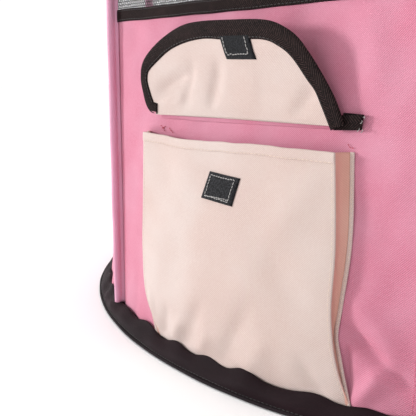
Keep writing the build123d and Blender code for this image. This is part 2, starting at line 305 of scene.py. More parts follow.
class Patchwork:
    """Collects grids, sheets, sweeps and scattered bits, and makes one mesh of them."""

    def __init__(self, name: str) -> None:
        """Start an empty piece.

        Args:
            name: the finished object's name.
        """
        self.name = name
        self.points: list[Array] = []
        self.flats: list[Array] = []
        self.faces: list[list[int]] = []
        self.marks: list[int] = []
        self.count = 0

    def _add(self, points: Array, flats: Array) -> int:
        """Take in points.

        Args:
            points: any array whose last axis is x, y, z.
            flats: their places on the flat cloth.

        Returns:
            The first point's index.
        """
        first = self.count
        self.points.append(points.reshape(-1, 3))
        self.flats.append(np.broadcast_to(flats, (*points.shape[:-1], 2)).reshape(-1, 2))
        self.count += len(self.points[-1])
        return first

    def _quads(self, index: Array, mark: int) -> None:
        """Take in the faces of a grid.

        Args:
            index: the grid of point indices.
            mark: which finish they take.
        """
        quads = np.stack([index[:-1, :-1], index[:-1, 1:], index[1:, 1:], index[1:, :-1]], -1)
        quads = quads.reshape(-1, 4)
        self.faces.extend(quads.tolist())
        self.marks.extend([mark] * len(quads))

    def sheet(
        self,
        face: Array,
        flats: Array,
        thickness: float,
        facing: Array,
        wrap: bool = False,
        back_mark: int = 0,
    ) -> None:
        """Add a closed thin sheet.

        Args:
            face: the outer face, rows by columns by 3.
            flats: each point's place on the flat cloth, in metres.
            thickness: how thick the cloth is.
            facing: the direction that the face looks.
            wrap: whether the last column meets the first.
            back_mark: which finish the back takes; the face takes the first.
        """
        normals = normals_of(face, facing, wrap)
        rows, cols = face.shape[:2]
        first = self._add(face, flats)
        second = self._add(face - normals * thickness, flats)
        index = np.arange(rows * cols).reshape(rows, cols)
        if wrap:
            index = np.concatenate([index, index[:, :1]], axis=1)
        centre = face[rows // 2, cols // 2]
        step = face[rows // 2, (cols // 2 + 1) % cols] - centre
        rise = face[min(rows // 2 + 1, rows - 1), cols // 2] - centre
        forward = float(np.dot(np.cross(step, rise), normals[rows // 2, cols // 2])) > 0
        front, back = index + first, index + second
        self._quads(front if forward else front[:, ::-1], 0)
        self._quads(back[:, ::-1] if forward else back, back_mark)
        rims = [np.stack([back[0], front[0]]), np.stack([front[-1], back[-1]])]
        if not wrap:
            rims += [
                np.stack([front[:, 0], back[:, 0]]),
                np.stack([back[:, -1], front[:, -1]]),
            ]
        for rim in rims:
            self._quads(rim if forward else rim[:, ::-1], 0)

    def sweep(self, sections: Array, flats: Array, closed: bool = False, mark: int = 0) -> None:
        """Add a solid swept through closed sections.

        Args:
            sections: stations by points by 3, each station a closed loop.
            flats: each point's place on the flat cloth.
            closed: whether the last station meets the first.
            mark: which finish it takes.
        """
        stations, count = sections.shape[:2]
        first = self._add(sections, flats)
        index = np.arange(stations * count).reshape(stations, count) + first
        index = np.concatenate([index, index[:, :1]], axis=1)
        if closed:
            index = np.concatenate([index, index[:1]], axis=0)
        centre = sections[0].mean(axis=0)
        loop = sections[0] - centre
        turn = np.cross(loop, np.roll(loop, -1, axis=0)).sum(axis=0)
        heading = sections[min(1, stations - 1)].mean(axis=0) - centre
        outward = float(turn @ heading) > 0
        self._quads(index if outward else index[:, ::-1], mark)
        if not closed:
            ends = [index[0, :-1][::-1], index[-1, :-1]]
            for end in ends:
                self.faces.append((end if outward else end[::-1]).tolist())
                self.marks.append(mark)

    def scatter(self, bit: "Bit", places: Array, frames: Array, mark: int = 0) -> None:
        """Add many copies of one small bit.

        Args:
            bit: the small shape.
            places: where each copy's centre goes.
            frames: for each copy, its x, y and z directions as rows.
            mark: which finish it takes.
        """
        points = places[:, None, :] + np.einsum("vk,nkc->nvc", bit.points, frames)
        first = self._add(points, np.zeros(2))
        for k in range(len(places)):
            base = first + k * len(bit.points)
            self.faces.extend([[base + i for i in face] for face in bit.faces])
        self.marks.extend([mark] * (len(places) * len(bit.faces)))

    def build(self, *finishes: Material) -> Piece:
        """Make the object.

        Args:
            finishes: its materials, in the order that the marks count.

        Returns:
            The new object, linked to the scene.
        """
        mesh = bpy.data.meshes.new(self.name)
        points = np.concatenate(self.points)
        mesh.from_pydata(points.tolist(), [], self.faces)
        mesh.polygons.foreach_set("use_smooth", [True] * len(mesh.polygons))
        mesh.polygons.foreach_set("material_index", self.marks)
        flats = np.concatenate(self.flats)
        corners = np.zeros(len(mesh.loops), np.int32)
        mesh.loops.foreach_get("vertex_index", corners)
        layer = mesh.uv_layers.new(name=UV_NAME)
        layer.data.foreach_set("uv", flats[corners].astype(np.float32).ravel())
        for finish in finishes:
            mesh.materials.append(finish)
        mesh.update()
        piece = bpy.data.objects.new(self.name, mesh)
        bpy.context.scene.collection.objects.link(piece)
        return piece


@dataclass(frozen=True)
class Bit:
    """A small shape that is copied many times."""

    points: Array
    faces: tuple[tuple[int, ...], ...]

    @staticmethod
    def lozenge(length: float, width: float, height: float, around: int = 6) -> "Bit":
        """A short rounded rod, such as one stitch or one zip tooth.

        Args:
            length: its size along x.
            width: its size along y.
            height: its size along z.
            around: how many points go round it.

        Returns:
            The shape, centred on the origin.
        """
        stations = ((-0.5, 0.45), (-0.32, 0.95), (0.0, 1.0), (0.32, 0.95), (0.5, 0.45))
        angles = np.arange(around) * 2 * math.pi / around
        rings = [
            np.stack(
                [
                    np.full(around, share * length),
                    np.cos(angles) * width / 2 * size,
                    np.sin(angles) * height / 2 * size,
                ],
                1,
            )
            for share, size in stations
        ]
        faces: list[tuple[int, ...]] = []
        for ring in range(len(stations) - 1):
            for k in range(around):
                near, far = ring * around, (ring + 1) * around
                step = (k + 1) % around
                faces.append((near + k, near + step, far + step, far + k))
        faces.append(tuple(range(around))[::-1])
        last = (len(stations) - 1) * around
        faces.append(tuple(range(last, last + around)))
        return Bit(np.concatenate(rings), tuple(faces))


def tape_section(width: float, thickness: float, crown: float = 0.12) -> Array:
    """The section of a flat tape with soft edges.

    Args:
        width: across the tape.
        thickness: its height above what it lies on.
        crown: how much its middle rises, as a share of the thickness.

    Returns:
        Points as (across, height), in order round the loop.
    """
    top = ((0.5, 0.35), (0.485, 0.8), (0.44, 1.0), (0.25, 1 + crown), (0.0, 1 + crown))
    bottom = ((-0.5, 0.0), (-0.25, 0.0), (0.0, 0.0), (0.25, 0.0), (0.5, 0.0))
    mirrored = tuple((-a, b) for a, b in top[-2::-1])
    return np.array(bottom + top + mirrored) * np.array([width, thickness])


def sweep_tape(
    work: Patchwork,
    line: Array,
    across: Array,
    out: Array,
    section: Array,
    closed: bool = False,
    mark: int = 0,
) -> None:
    """Lay a tape along a line.

    Args:
        work: the piece that it joins.
        line: the tape's middle, one point per station.
        across: the direction across the tape, one for all stations or one for each.
        out: the direction away from what it lies on, likewise.
        section: the tape's section.
        closed: whether the line meets itself.
        mark: which finish it takes.
    """
    across, out = np.broadcast_to(across, line.shape), np.broadcast_to(out, line.shape)
    sections = (
        line[:, None, :]
        + across[:, None, :] * section[None, :, :1]
        + out[:, None, :] * section[None, :, 1:]
    )
    flats = np.stack(np.broadcast_arrays(travelled(line)[:, None], section[None, :, 0]), axis=-1)
    work.sweep(sections, flats, closed, mark)


def sew(
    work: Patchwork,
    line: Array,
    out: Array,
    stitch: float = 0.0026,
    gap: float = 0.0009,
    thread: float = 0.0006,
    sink: float = 0.00005,
    mark: int = 0,
    messy: float = 0.0,
) -> None:
    """Sew a row of stitches along a line.

    Args:
        work: the piece that the thread joins.
        line: the row's points.
        out: the direction away from the cloth, one for all points or one for each.
        stitch: one stitch's length.
        gap: the space between two stitches.
        thread: the thread's thickness.
        sink: how deep the thread lies in the cloth.
        mark: which finish it takes.
        messy: how far the stitches wander, in metres.
    """
    out = np.broadcast_to(out, line.shape)
    gone = travelled(line)
    number = max(2, int(gone[-1] / (stitch + gap)))
    centres = (np.arange(number) + 0.5) * gone[-1] / number
    draw = np.random.default_rng(number)

    def read(values: Array, marks: Array) -> Array:
        """Values between the line's points, at distances along it."""
        return np.stack([np.interp(marks, gone, values[:, k]) for k in range(3)], 1)

    half = stitch / 2
    heading = unit(read(line, centres + half) - read(line, centres - half))
    up = unit(read(out, centres))
    side = unit(np.cross(up, heading))
    if messy:
        heading = unit(heading + side * draw.uniform(-0.25, 0.25, (number, 1)))
        side = unit(np.cross(up, heading))
    wander = draw.uniform(-1, 1, (number, 1)) * messy
    places = read(line, centres) + up * (thread / 2 - sink) + side * wander
    frames = np.stack([heading, side, up], axis=1)
    work.scatter(Bit.lozenge(stitch, thread, thread), places, frames, mark)


# ---- finishes


class Graph:
    """Builds one material's nodes."""

    def __init__(self, name: str) -> None:
        """Start a material with a shader and an output.

        Args:
            name: the material's name.
        """
        self.material = bpy.data.materials.new(name)
        self.material.use_nodes = True
        self.tree = self.material.node_tree
        self.tree.nodes.clear()
        self.shader = self.tree.nodes.new("ShaderNodeBsdfPrincipled")
        output = self.tree.nodes.new("ShaderNodeOutputMaterial")
        self.tree.links.new(self.shader.outputs[0], output.inputs[0])

    def set(self, **values: float | Colour) -> "Graph":
        """Set the shader's own sockets.

        Args:
            values: each socket's value, its name with underscores for spaces.

        Returns:
            This graph.
        """
        for name, value in values.items():
            self.shader.inputs[name.replace("_", " ")].default_value = value
        return self

    def feed(self, name: str, source: Socket) -> None:
        """Link a source to one of the shader's sockets."""
        self.tree.links.new(source, self.shader.inputs[name])

    def tint(self, share: Value, a: Value, b: Value) -> None:
        """Mix two colours into the surface's own."""
        self.feed("Base Color", self.blend(share, a, b))

    def rough(self, value: Value, gain: float, base: float) -> None:
        """Let a value change the roughness."""
        self.feed("Roughness", self.math("MULTIPLY_ADD", value, gain, base))

    def _put(self, node: Node, slot: int, value: Value) -> None:
        """Give a node's socket a constant or a link.

        Args:
            node: the node.
            slot: which of its inputs.
            value: a constant, a socket to link, or None to leave it.
        """
        if isinstance(value, Socket):
            self.tree.links.new(value, node.inputs[slot])
        elif value is not None:
            node.inputs[slot].default_value = value

    def math(self, operation: str, a: Value, b: Value = None, c: Value = None) -> Socket:
        """One sum on numbers.

        Args:
            operation: Blender's name for it.
            a: first number or socket.
            b: second.
            c: third.

        Returns:
            The result's socket.
        """
        node = self.tree.nodes.new("ShaderNodeMath")
        node.operation = operation
        for slot, value in enumerate((a, b, c)):
            self._put(node, slot, value)
        return node.outputs[0]

    def vector(
        self, operation: str, a: Value, b: Value = None, c: Value = None, output: int = 0
    ) -> Socket:
        """One sum on vectors.

        Args:
            operation: Blender's name for it.
            a: first vector or socket.
            b: second.
            c: third.
            output: which of the node's outputs to give.

        Returns:
            The result's socket.
        """
        node = self.tree.nodes.new("ShaderNodeVectorMath")
        node.operation = operation
        for slot, value in enumerate((a, b, c)):
            self._put(node, slot, value)
        return node.outputs[output]

    def flat(self) -> Socket:
        """The place on the flat cloth.

        Returns:
            Its socket, in metres.
        """
        node = self.tree.nodes.new("ShaderNodeUVMap")
        node.uv_map = UV_NAME
        return node.outputs[0]

    def place(self) -> Socket:
        """The place on the object, in metres."""
        return self.tree.nodes.new("ShaderNodeTexCoord").outputs["Object"]

    def split(self, vector: Socket) -> tuple[Socket, ...]:
        """Take a vector apart.

        Args:
            vector: the vector's socket.

        Returns:
            The sockets of its x, y and z.
        """
        node = self.tree.nodes.new("ShaderNodeSeparateXYZ")
        self.tree.links.new(vector, node.inputs[0])
        return tuple(node.outputs)

    def noise(self, where: Socket, size: float, detail: float = 3.0) -> Socket:
        """Soft noise from 0 to 1.

        Args:
            where: the coordinates.
            size: the noise's usual size, in metres.
            detail: how much finer noise is added.

        Returns:
            The noise's socket.
        """
        node = self.tree.nodes.new("ShaderNodeTexNoise")
        self.tree.links.new(where, node.inputs["Vector"])
        node.inputs["Scale"].default_value = 1 / size
        node.inputs["Detail"].default_value = detail
        return node.outputs[0]

    def wave(self, value: Socket, pitch: float) -> Socket:
        """A ridge every pitch metres, from 0 to 1."""
        turned = self.math("SINE", self.math("MULTIPLY", value, 2 * math.pi / pitch))
        return self.math("MULTIPLY_ADD", turned, 0.5, 0.5)

    def blend(self, share: Value, a: Value, b: Value) -> Socket:
        """Mix two colours.

        Args:
            share: 0 for the first, 1 for the second.
            a: first colour or socket.
            b: second.

        Returns:
            The mixed colour's socket.
        """
        node = self.tree.nodes.new("ShaderNodeMix")
        node.data_type = "RGBA"
        self._put(node, 0, share)
        for slot, value in ((6, a), (7, b)):
            self._put(node, slot, (*value, 1) if isinstance(value, tuple) else value)
        return node.outputs[2]

    def ramp(self, value: Socket, low: float, high: float) -> Socket:
        """Stretch a value and hold it between 0 and 1.

        Args:
            value: its socket.
            low: what becomes 0.
            high: what becomes 1.

        Returns:
            The stretched value's socket.
        """
        node = self.tree.nodes.new("ShaderNodeMapRange")
        self.tree.links.new(value, node.inputs[0])
        node.inputs[1].default_value = low
        node.inputs[2].default_value = high
        return node.outputs[0]

    def bump(self, height: Socket, depth: float, strength: float = 1.0) -> None:
        """Raise the surface by a height map.

        Args:
            height: from 0 to 1.
            depth: how far that is, in metres.
            strength: how much of it shows.
        """
        node = self.tree.nodes.new("ShaderNodeBump")
        node.inputs["Strength"].default_value = strength
        node.inputs["Distance"].default_value = depth
        self.tree.links.new(height, node.inputs["Height"])
        self.feed("Normal", node.outputs[0])


@dataclass(frozen=True)
class WovenCloth:
    """Coated woven polyester with a fine diagonal grain."""

    name: str
    colour: Colour
    deep: Colour
    pale: Colour
    grain: float = 0.0016
    thread: float = 0.0006
    contrast: float = 0.35
    depth: float = 0.00022
    roughness: float = 0.62
    sheen: float = 0.08
    mottle: float = 0.05
    specular: float = 0.25

    def material(self) -> Material:
        """Make the finish.

        Returns:
            The new material.
        """
        graph = Graph(self.name)
        graph.set(
            Sheen_Weight=self.sheen, Sheen_Roughness=0.45, Specular_IOR_Level=self.specular
        )
        flat, place = graph.flat(), graph.place()
        u, v, _ = graph.split(flat)
        diagonal = graph.wave(graph.math("SUBTRACT", u, v), self.grain)
        basket = graph.math(
            "MULTIPLY", graph.wave(u, 2 * self.thread), graph.wave(v, 2 * self.thread)
        )
        weave = graph.math("MULTIPLY_ADD", basket, 0.2, graph.math("MULTIPLY", diagonal, 0.8))
        fine = graph.math("MULTIPLY_ADD", graph.noise(flat, 0.0022, 2.0), 0.8, 0.5)
        uneven = graph.math("MULTIPLY", weave, fine)
        shade = graph.blend(
            graph.math("MULTIPLY_ADD", uneven, -self.contrast, self.contrast), self.colour, self.deep
        )
        patches = graph.ramp(graph.noise(place, self.mottle, 4.0), 0.35, 0.75)
        tone = graph.blend(graph.math("MULTIPLY", patches, 0.5), shade, self.pale)
        graph.feed("Base Color", tone)
        rough = graph.math("MULTIPLY_ADD", uneven, -0.1, self.roughness + 0.05)
        graph.rough(patches, 0.06, rough)
        graph.bump(uneven, self.depth, 0.8)
        return graph.material


@dataclass(frozen=True)
class HerringboneTape:
    """Ribbed binding tape whose ribs meet in a chevron at its middle, the rib crests painted lighter as
    glints.
    """

    name: str
    dark: Colour = (0.0035, 0.0022, 0.0022)
    # light: the colour of the painted glints on the rib crests, which worn patches also fade towards
    light: Colour = (0.075, 0.042, 0.040)
    rib: float = 0.0021
    depth: float = 0.0004
    chevron: bool = True

    def material(self) -> Material:
        """Make the finish.

        Returns:
            The new material.
        """
        graph = Graph(self.name)
        graph.set(Specular_IOR_Level=0.12)
        u, v, _ = graph.split(graph.flat())
        side = graph.math("ABSOLUTE", v) if self.chevron else v
        ribs = graph.wave(graph.math("ADD", u, side), self.rib)
        fuzz = graph.noise(graph.place(), 0.0012, 2.0)
        worn = graph.ramp(graph.noise(graph.place(), 0.03, 3.0), 0.35, 0.8)
        # painted highlight: the rib crests are coloured lighter, as glints where light catches the ribs
        lit = graph.math("MULTIPLY", graph.math("POWER", ribs, 3.0), graph.ramp(fuzz, 0.3, 0.7))
        tone = graph.blend(lit, self.dark, self.light)
        graph.tint(graph.math("MULTIPLY", worn, 0.12), tone, self.light)
        graph.rough(lit, -0.15, 0.82)
        graph.bump(graph.math("MULTIPLY_ADD", fuzz, 0.3, ribs), self.depth, 0.9)
        return graph.material


@dataclass(frozen=True)
class HexNet:
    """Open net of six-sided holes."""

    name: str
    colour: Colour = (0.012, 0.011, 0.012)
    pitch: float = 0.0030
    strand: float = 0.10

    def _from_centre(self, graph: Graph, cell: Socket, shift: tuple[float, float, float]) -> Socket:
        """Distance from the nearest hole's centre, for one of the net's two sets of holes.

        Args:
            graph: the material's nodes.
            cell: the place on the net, in pitches.
            shift: where this set has one of its holes.

        Returns:
            The distance's socket, in pitches.
        """
        half = (0.5, math.sqrt(3) / 2, 1.0)
        moved = graph.vector("SUBTRACT", cell, shift)
        wrapped = graph.vector("WRAP", moved, half, tuple(-h for h in half))
        size = graph.vector("ABSOLUTE", wrapped)
        slanted = graph.vector("DOT_PRODUCT", size, (0.5, math.sqrt(3) / 2, 0.0), output=1)
        return graph.math("MAXIMUM", slanted, graph.split(size)[0])

    def material(self) -> Material:
        """Make the finish.

        Returns:
            The new material.
        """
        graph = Graph(self.name)
        graph.set(Specular_IOR_Level=0.3)
        cell = graph.vector("MULTIPLY", graph.flat(), (1 / self.pitch, 1 / self.pitch, 0.0))
        near = graph.math(
            "MINIMUM",
            self._from_centre(graph, cell, (0.0, 0.0, 0.0)),
            self._from_centre(graph, cell, (0.5, math.sqrt(3) / 2, 0.0)),
        )
        strand = graph.ramp(near, 0.5 - self.strand, 0.5 - self.strand * 0.75)
        graph.feed("Alpha", strand)
        fuzz = graph.noise(graph.place(), 0.0009, 2.0)
        graph.tint(fuzz, self.colour, (0.05, 0.045, 0.046))
        graph.rough(fuzz, 0.2, 0.6)
        graph.bump(graph.math("MULTIPLY_ADD", fuzz, 0.4, strand), 0.0003, 0.5)
        return graph.material


@dataclass(frozen=True)
class Pile:
    """Hook or loop tape: a dense field of tiny tufts, their tops painted lighter as highlights."""

    name: str
    tuft: float = 0.0009
    dark: Colour = (0.003, 0.003, 0.004)
    # light: the colour of the painted highlights on the tufts' tops
    light: Colour = (0.035, 0.036, 0.044)
    depth: float = 0.0005

    def material(self) -> Material:
        """Make the finish.

        Returns:
            The new material.
        """
        graph = Graph(self.name)
        graph.set(Sheen_Weight=0.06, Sheen_Roughness=0.6, Specular_IOR_Level=0.12)
        cells = graph.tree.nodes.new("ShaderNodeTexVoronoi")
        cells.inputs["Scale"].default_value = 1 / self.tuft
        graph.tree.links.new(graph.place(), cells.inputs["Vector"])
        tufts = graph.ramp(cells.outputs["Distance"], 0.7, 0.05)
        fuzz = graph.noise(graph.place(), 0.002, 4.0)
        # painted highlight: each tuft's top is coloured lighter, varied by noise, standing for light on
        # the tufts
        lit = graph.math("MULTIPLY", tufts, fuzz)
        graph.tint(lit, self.dark, self.light)
        graph.rough(fuzz, 0.2, 0.65)
        graph.bump(lit, self.depth)
        return graph.material


@dataclass(frozen=True)
class Thread:
    """Twisted sewing thread."""

    name: str
    colour: Colour
    shade: Colour

    def material(self) -> Material:
        """Make the finish.

        Returns:
            The new material.
        """
        graph = Graph(self.name)
        graph.set(Sheen_Weight=0.2, Specular_IOR_Level=0.35)
        twist = graph.noise(graph.place(), 0.0007, 2.0)
        graph.tint(twist, self.shade, self.colour)
        graph.rough(twist, 0.2, 0.45)
        graph.bump(twist, 0.0001)
        return graph.material


@dataclass(frozen=True)
class GlassRod:
    """Pale pulled glass-fibre rod with streaks along it."""

    name: str = "glass_fibre_rod"

    def material(self) -> Material:
        """Make the finish.

        Returns:
            The new material.
        """
        graph = Graph(self.name)
        graph.set(Specular_IOR_Level=0.5)
        streaks = graph.noise(
            graph.vector("MULTIPLY", graph.place(), (1.0, 1.0, 0.04)), 0.0006, 3.0
        )
        graph.tint(streaks, (0.5, 0.51, 0.47), (0.72, 0.73, 0.69))
        graph.rough(streaks, 0.2, 0.28)
        graph.bump(streaks, 0.00005)
        return graph.material


@dataclass(frozen=True)
class Enamel:
    """Black enamel on a die-cast slider, worn to bare metal in small chips."""

    name: str = "slider_enamel"

    def material(self) -> Material:
        """Make the finish.

        Returns:
            The new material.
        """
        graph = Graph(self.name)
        graph.set(Specular_IOR_Level=0.5, Coat_Weight=0.3, Coat_Roughness=0.15)
        grain = graph.noise(graph.place(), 0.0035, 5.0)
        chips = graph.ramp(grain, 0.7, 0.74)
        graph.tint(chips, (0.016, 0.016, 0.017), (0.42, 0.4, 0.37))
        graph.feed("Metallic", chips)
        graph.rough(grain, 0.25, 0.2)
        graph.bump(grain, 0.0001, 0.4)
        return graph.material


@dataclass(frozen=True)
class Moulded:
    """Moulded nylon of a zip's coil."""

    name: str = "zip_coil"

    def material(self) -> Material:
        """Make the finish.

        Returns:
            The new material.
        """
        graph = Graph(self.name)
        graph.set(Specular_IOR_Level=0.5)
        scuff = graph.noise(graph.place(), 0.002, 4.0)
        graph.tint(scuff, (0.008, 0.008, 0.009), (0.04, 0.038, 0.038))
        graph.rough(scuff, 0.3, 0.25)
        graph.bump(scuff, 0.00008)
        return graph.material


@dataclass(frozen=True)
class PaleFloor:
    """A plain pale studio floor."""

    name: str = "studio_floor"

    def material(self) -> Material:
        """Make the finish.

        Returns:
            The new material.
        """
        graph = Graph(self.name)
        graph.set(Specular_IOR_Level=0.1, Roughness=0.9)
        tint = graph.noise(graph.place(), 0.8, 2.0)
        graph.tint(tint, (0.93, 0.93, 0.935), (0.95, 0.95, 0.95))
        return graph.material


class Finishes:
    """All the pen's finishes, made once and shared."""

    def __init__(self) -> None:
        """Make every material."""
        pink = (0.69, 0.300, 0.398)
        self.wall = WovenCloth(
            "pink_oxford", pink, (0.48, 0.085, 0.16), (0.67, 0.340, 0.440), contrast=0.8
        ).material()
        # painted light: the corner sleeves take a paler, cooler copy of the pink wall cloth, standing
        # for how light falls on the fins
        self.sleeve = WovenCloth(
            "sleeve_oxford_painted_light", (0.74, 0.36, 0.50), (0.55, 0.16, 0.27), (0.74, 0.43, 0.58), depth=0.0001
        ).material()
        self.beige = WovenCloth(
            "beige_oxford",
            (0.675, 0.580, 0.535),
            (0.47, 0.29, 0.25),
            (0.665, 0.59, 0.555),
            contrast=0.75,
            sheen=0.15,
        ).material()
        # painted shade: the pocket's bellows take a darker, redder copy of the beige pocket cloth,
        # standing for the shade on their sides
        self.gusset = WovenCloth(
            "beige_oxford_painted_shade", (0.68, 0.37, 0.30), (0.46, 0.19, 0.14), (0.70, 0.44, 0.37)
        ).material()
        self.base = WovenCloth(
            "coated_nylon",
            (0.014, 0.0065, 0.0085),
            (0.005, 0.0025, 0.0035),
            (0.022, 0.009, 0.0125),
            grain=0.0011,
            roughness=0.55,
            sheen=0.02,
            contrast=0.5,
            specular=0.08,
        ).material()
        self.piping = WovenCloth(
            "piping_cloth",
            (0.014, 0.009, 0.011),
            (0.006, 0.004, 0.005),
            (0.03, 0.02, 0.024),
            grain=0.001,
            sheen=0.02,
            specular=0.08,
        ).material()
        self.tape = HerringboneTape("herringbone_tape").material()
        self.zip_tape = HerringboneTape(
            "zip_tape", light=(0.035, 0.03, 0.03), rib=0.0014, depth=0.0002, chevron=False
        ).material()
        self.net = HexNet("hex_net").material()
        self.hook = Pile("hook_tape").material()
        self.loop = Pile("loop_tape", tuft=0.0013, light=(0.06, 0.06, 0.068)).material()
        self.grey_thread = Thread("grey_thread", (0.5, 0.48, 0.46), (0.25, 0.24, 0.24)).material()
        self.black_thread = Thread("black_thread", (0.03, 0.026, 0.025), (0.01, 0.01, 0.01)).material()
        self.beige_thread = Thread("beige_thread", (0.84, 0.72, 0.62), (0.6, 0.44, 0.34)).material()
        self.red_thread = Thread("red_thread", (0.62, 0.05, 0.09), (0.3, 0.01, 0.03)).material()
        self.pink_thread = Thread("pink_thread", (0.86, 0.3, 0.42), (0.55, 0.1, 0.18)).material()
        self.rod = GlassRod().material()
        self.enamel = Enamel().material()
        self.coil = Moulded().material()
        self.floor = PaleFloor().material()


# ---- the pen's shape


def settle(
    piece: Piece, body: Body, slot: Slot, replaces: tuple[str, ...] = ()
) -> Piece:
    """Put a finished piece on its body.

    Args:
        piece: the object.
        body: what it rides on.
        slot: not used.
        replaces: the frame's nodes that it stands for.

    Returns:
        The same object.
    """
    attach(piece, body.value)
    if replaces:
        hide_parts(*replaces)
    log.info("%s: %d faces", piece.name, len(piece.data.polygons))
    return piece


def span(
    piece: Piece,
    body: Body,
    slot: Slot,
    start: Point,
    end: Point,
    replaces: tuple[str, ...] = (),
) -> None:
    """Bake a finished strip that lies across a hinge, from the pen to a moving body, into place; it is
    attached to no body.

    Args:
        piece: the object.
        body: not used.
        slot: not used.
        start: where the strip starts to leave the pen.
        end: where it has joined the moving body.
        replaces: the frame's nodes that it stands for.
    """
    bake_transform(piece)
    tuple(start)
    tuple(end)
    if replaces:
        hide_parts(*replaces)
    log.info("%s: %d faces, across the hinge", piece.name, len(piece.data.polygons))


@dataclass(frozen=True)
class PenShape:
    """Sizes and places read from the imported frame, in metres."""

    apothem: float
    half_side: float
    corner_radius: float
    base_radius: float
    band_top: float
    tape_bottom: float
    tape_top: float
    rim: float

    @staticmethod
    def from_frame() -> "PenShape":
        """Read the sizes from the frame's nodes.

        Returns:
            The pen's shape.
        """
        window_low, window_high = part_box("window_1")
        wall_low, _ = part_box("wall_1")
        tape_low, tape_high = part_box("window_tape")
        _, base_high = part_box("base_piping")
        apothem = -window_low.y
        half_side = apothem * math.tan(TURN / 2)
        return PenShape(
            apothem=apothem,
            half_side=half_side,
            corner_radius=math.hypot(apothem, half_side),
            base_radius=base_high.x,
            band_top=wall_low.z,
            tape_bottom=tape_low.z,
            tape_top=tape_high.z,
            rim=window_high.z,
        )

    @staticmethod
    def directions(side: float) -> tuple[Array, Array]:
        """Two directions of a wall or a corner.

        Args:
            side: which wall, or a half count for the corner between two.

        Returns:
            The sideways and the outward direction.
        """
        angle = side * TURN
        across = np.array([math.cos(angle), math.sin(angle), 0.0])
        outward = np.array([math.sin(angle), -math.cos(angle), 0.0])
        return across, outward

    def face(self, x: Array, z: Array) -> Array:
        """How far out a wall's face stands.

        Args:
            x: distance across from the wall's middle.
            z: height.

        Returns:
            Distance out from the pen's middle.
        """
        share = np.clip((self.tape_bottom - z) / (self.tape_bottom - self.band_top), 0, 1.08)
        arc = np.sqrt(np.maximum(self.corner_radius**2 - np.asarray(x, float) ** 2, 0))
        return self.apothem + (arc - self.apothem) * share

    def place(self, side: int, x: Array, z: Array, out: Array | float = 0.0) -> Array:
        """Points on or off one wall.

        Args:
            side: which wall.
            x: distance across from its middle.
            z: height.
            out: distance out from its face.

        Returns:
            Points in space.
        """
        across, outward = self.directions(side)
        x, z, out = np.broadcast_arrays(np.asarray(x, float), z, out)
        far = self.face(x, z) + out
        return x[..., None] * across + far[..., None] * outward + z[..., None] * UP

    def relief(self, side: int, x: Array, z: Array) -> Array:
        """How the wall's cloth stands off its plain shape.

        Args:
            side: which wall.
            x: distance across from its middle.
            z: height.

        Returns:
            Distance out, zero at the corners.
        """
        from_corner = self.half_side - np.abs(x)
        free = ease(from_corner, 0.0, 0.035)
        free = free * (1 - ease(z, self.tape_bottom - 0.008, self.tape_bottom))
        foot = np.exp(-np.maximum(z - self.band_top, 0) / 0.03)
        head = np.exp(-np.maximum(self.tape_bottom - z, 0) / 0.022)
        slack = 0.0016 * ripple(x, z, 0.13, 11 + side)
        slack = slack + 0.0007 * ripple(x, z, 0.045, 31 + side)
        gathers = 0.0016 * foot * ripple(x, z * 0.2, 0.034, 51 + side)
        pulls = 0.0011 * head * ripple(x, z * 0.3, 0.05, 71 + side)
        tuck = -0.0030 * np.exp(-((from_corner / 0.0019) ** 2))
        return free * (slack + gathers + pulls) + tuck - 0.0003


SHAPE = PenShape.from_frame()
# the pocket's middle in the sizes that Walls, Pocket and Flap hold
DRAWN_MIDDLE = 0.006
# how far those sizes slide sideways to meet the frame's own pocket
POCKET_SLIDE = (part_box("pocket_front")[0].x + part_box("pocket_front")[1].x) / 2 - DRAWN_MIDDLE


# ---- base


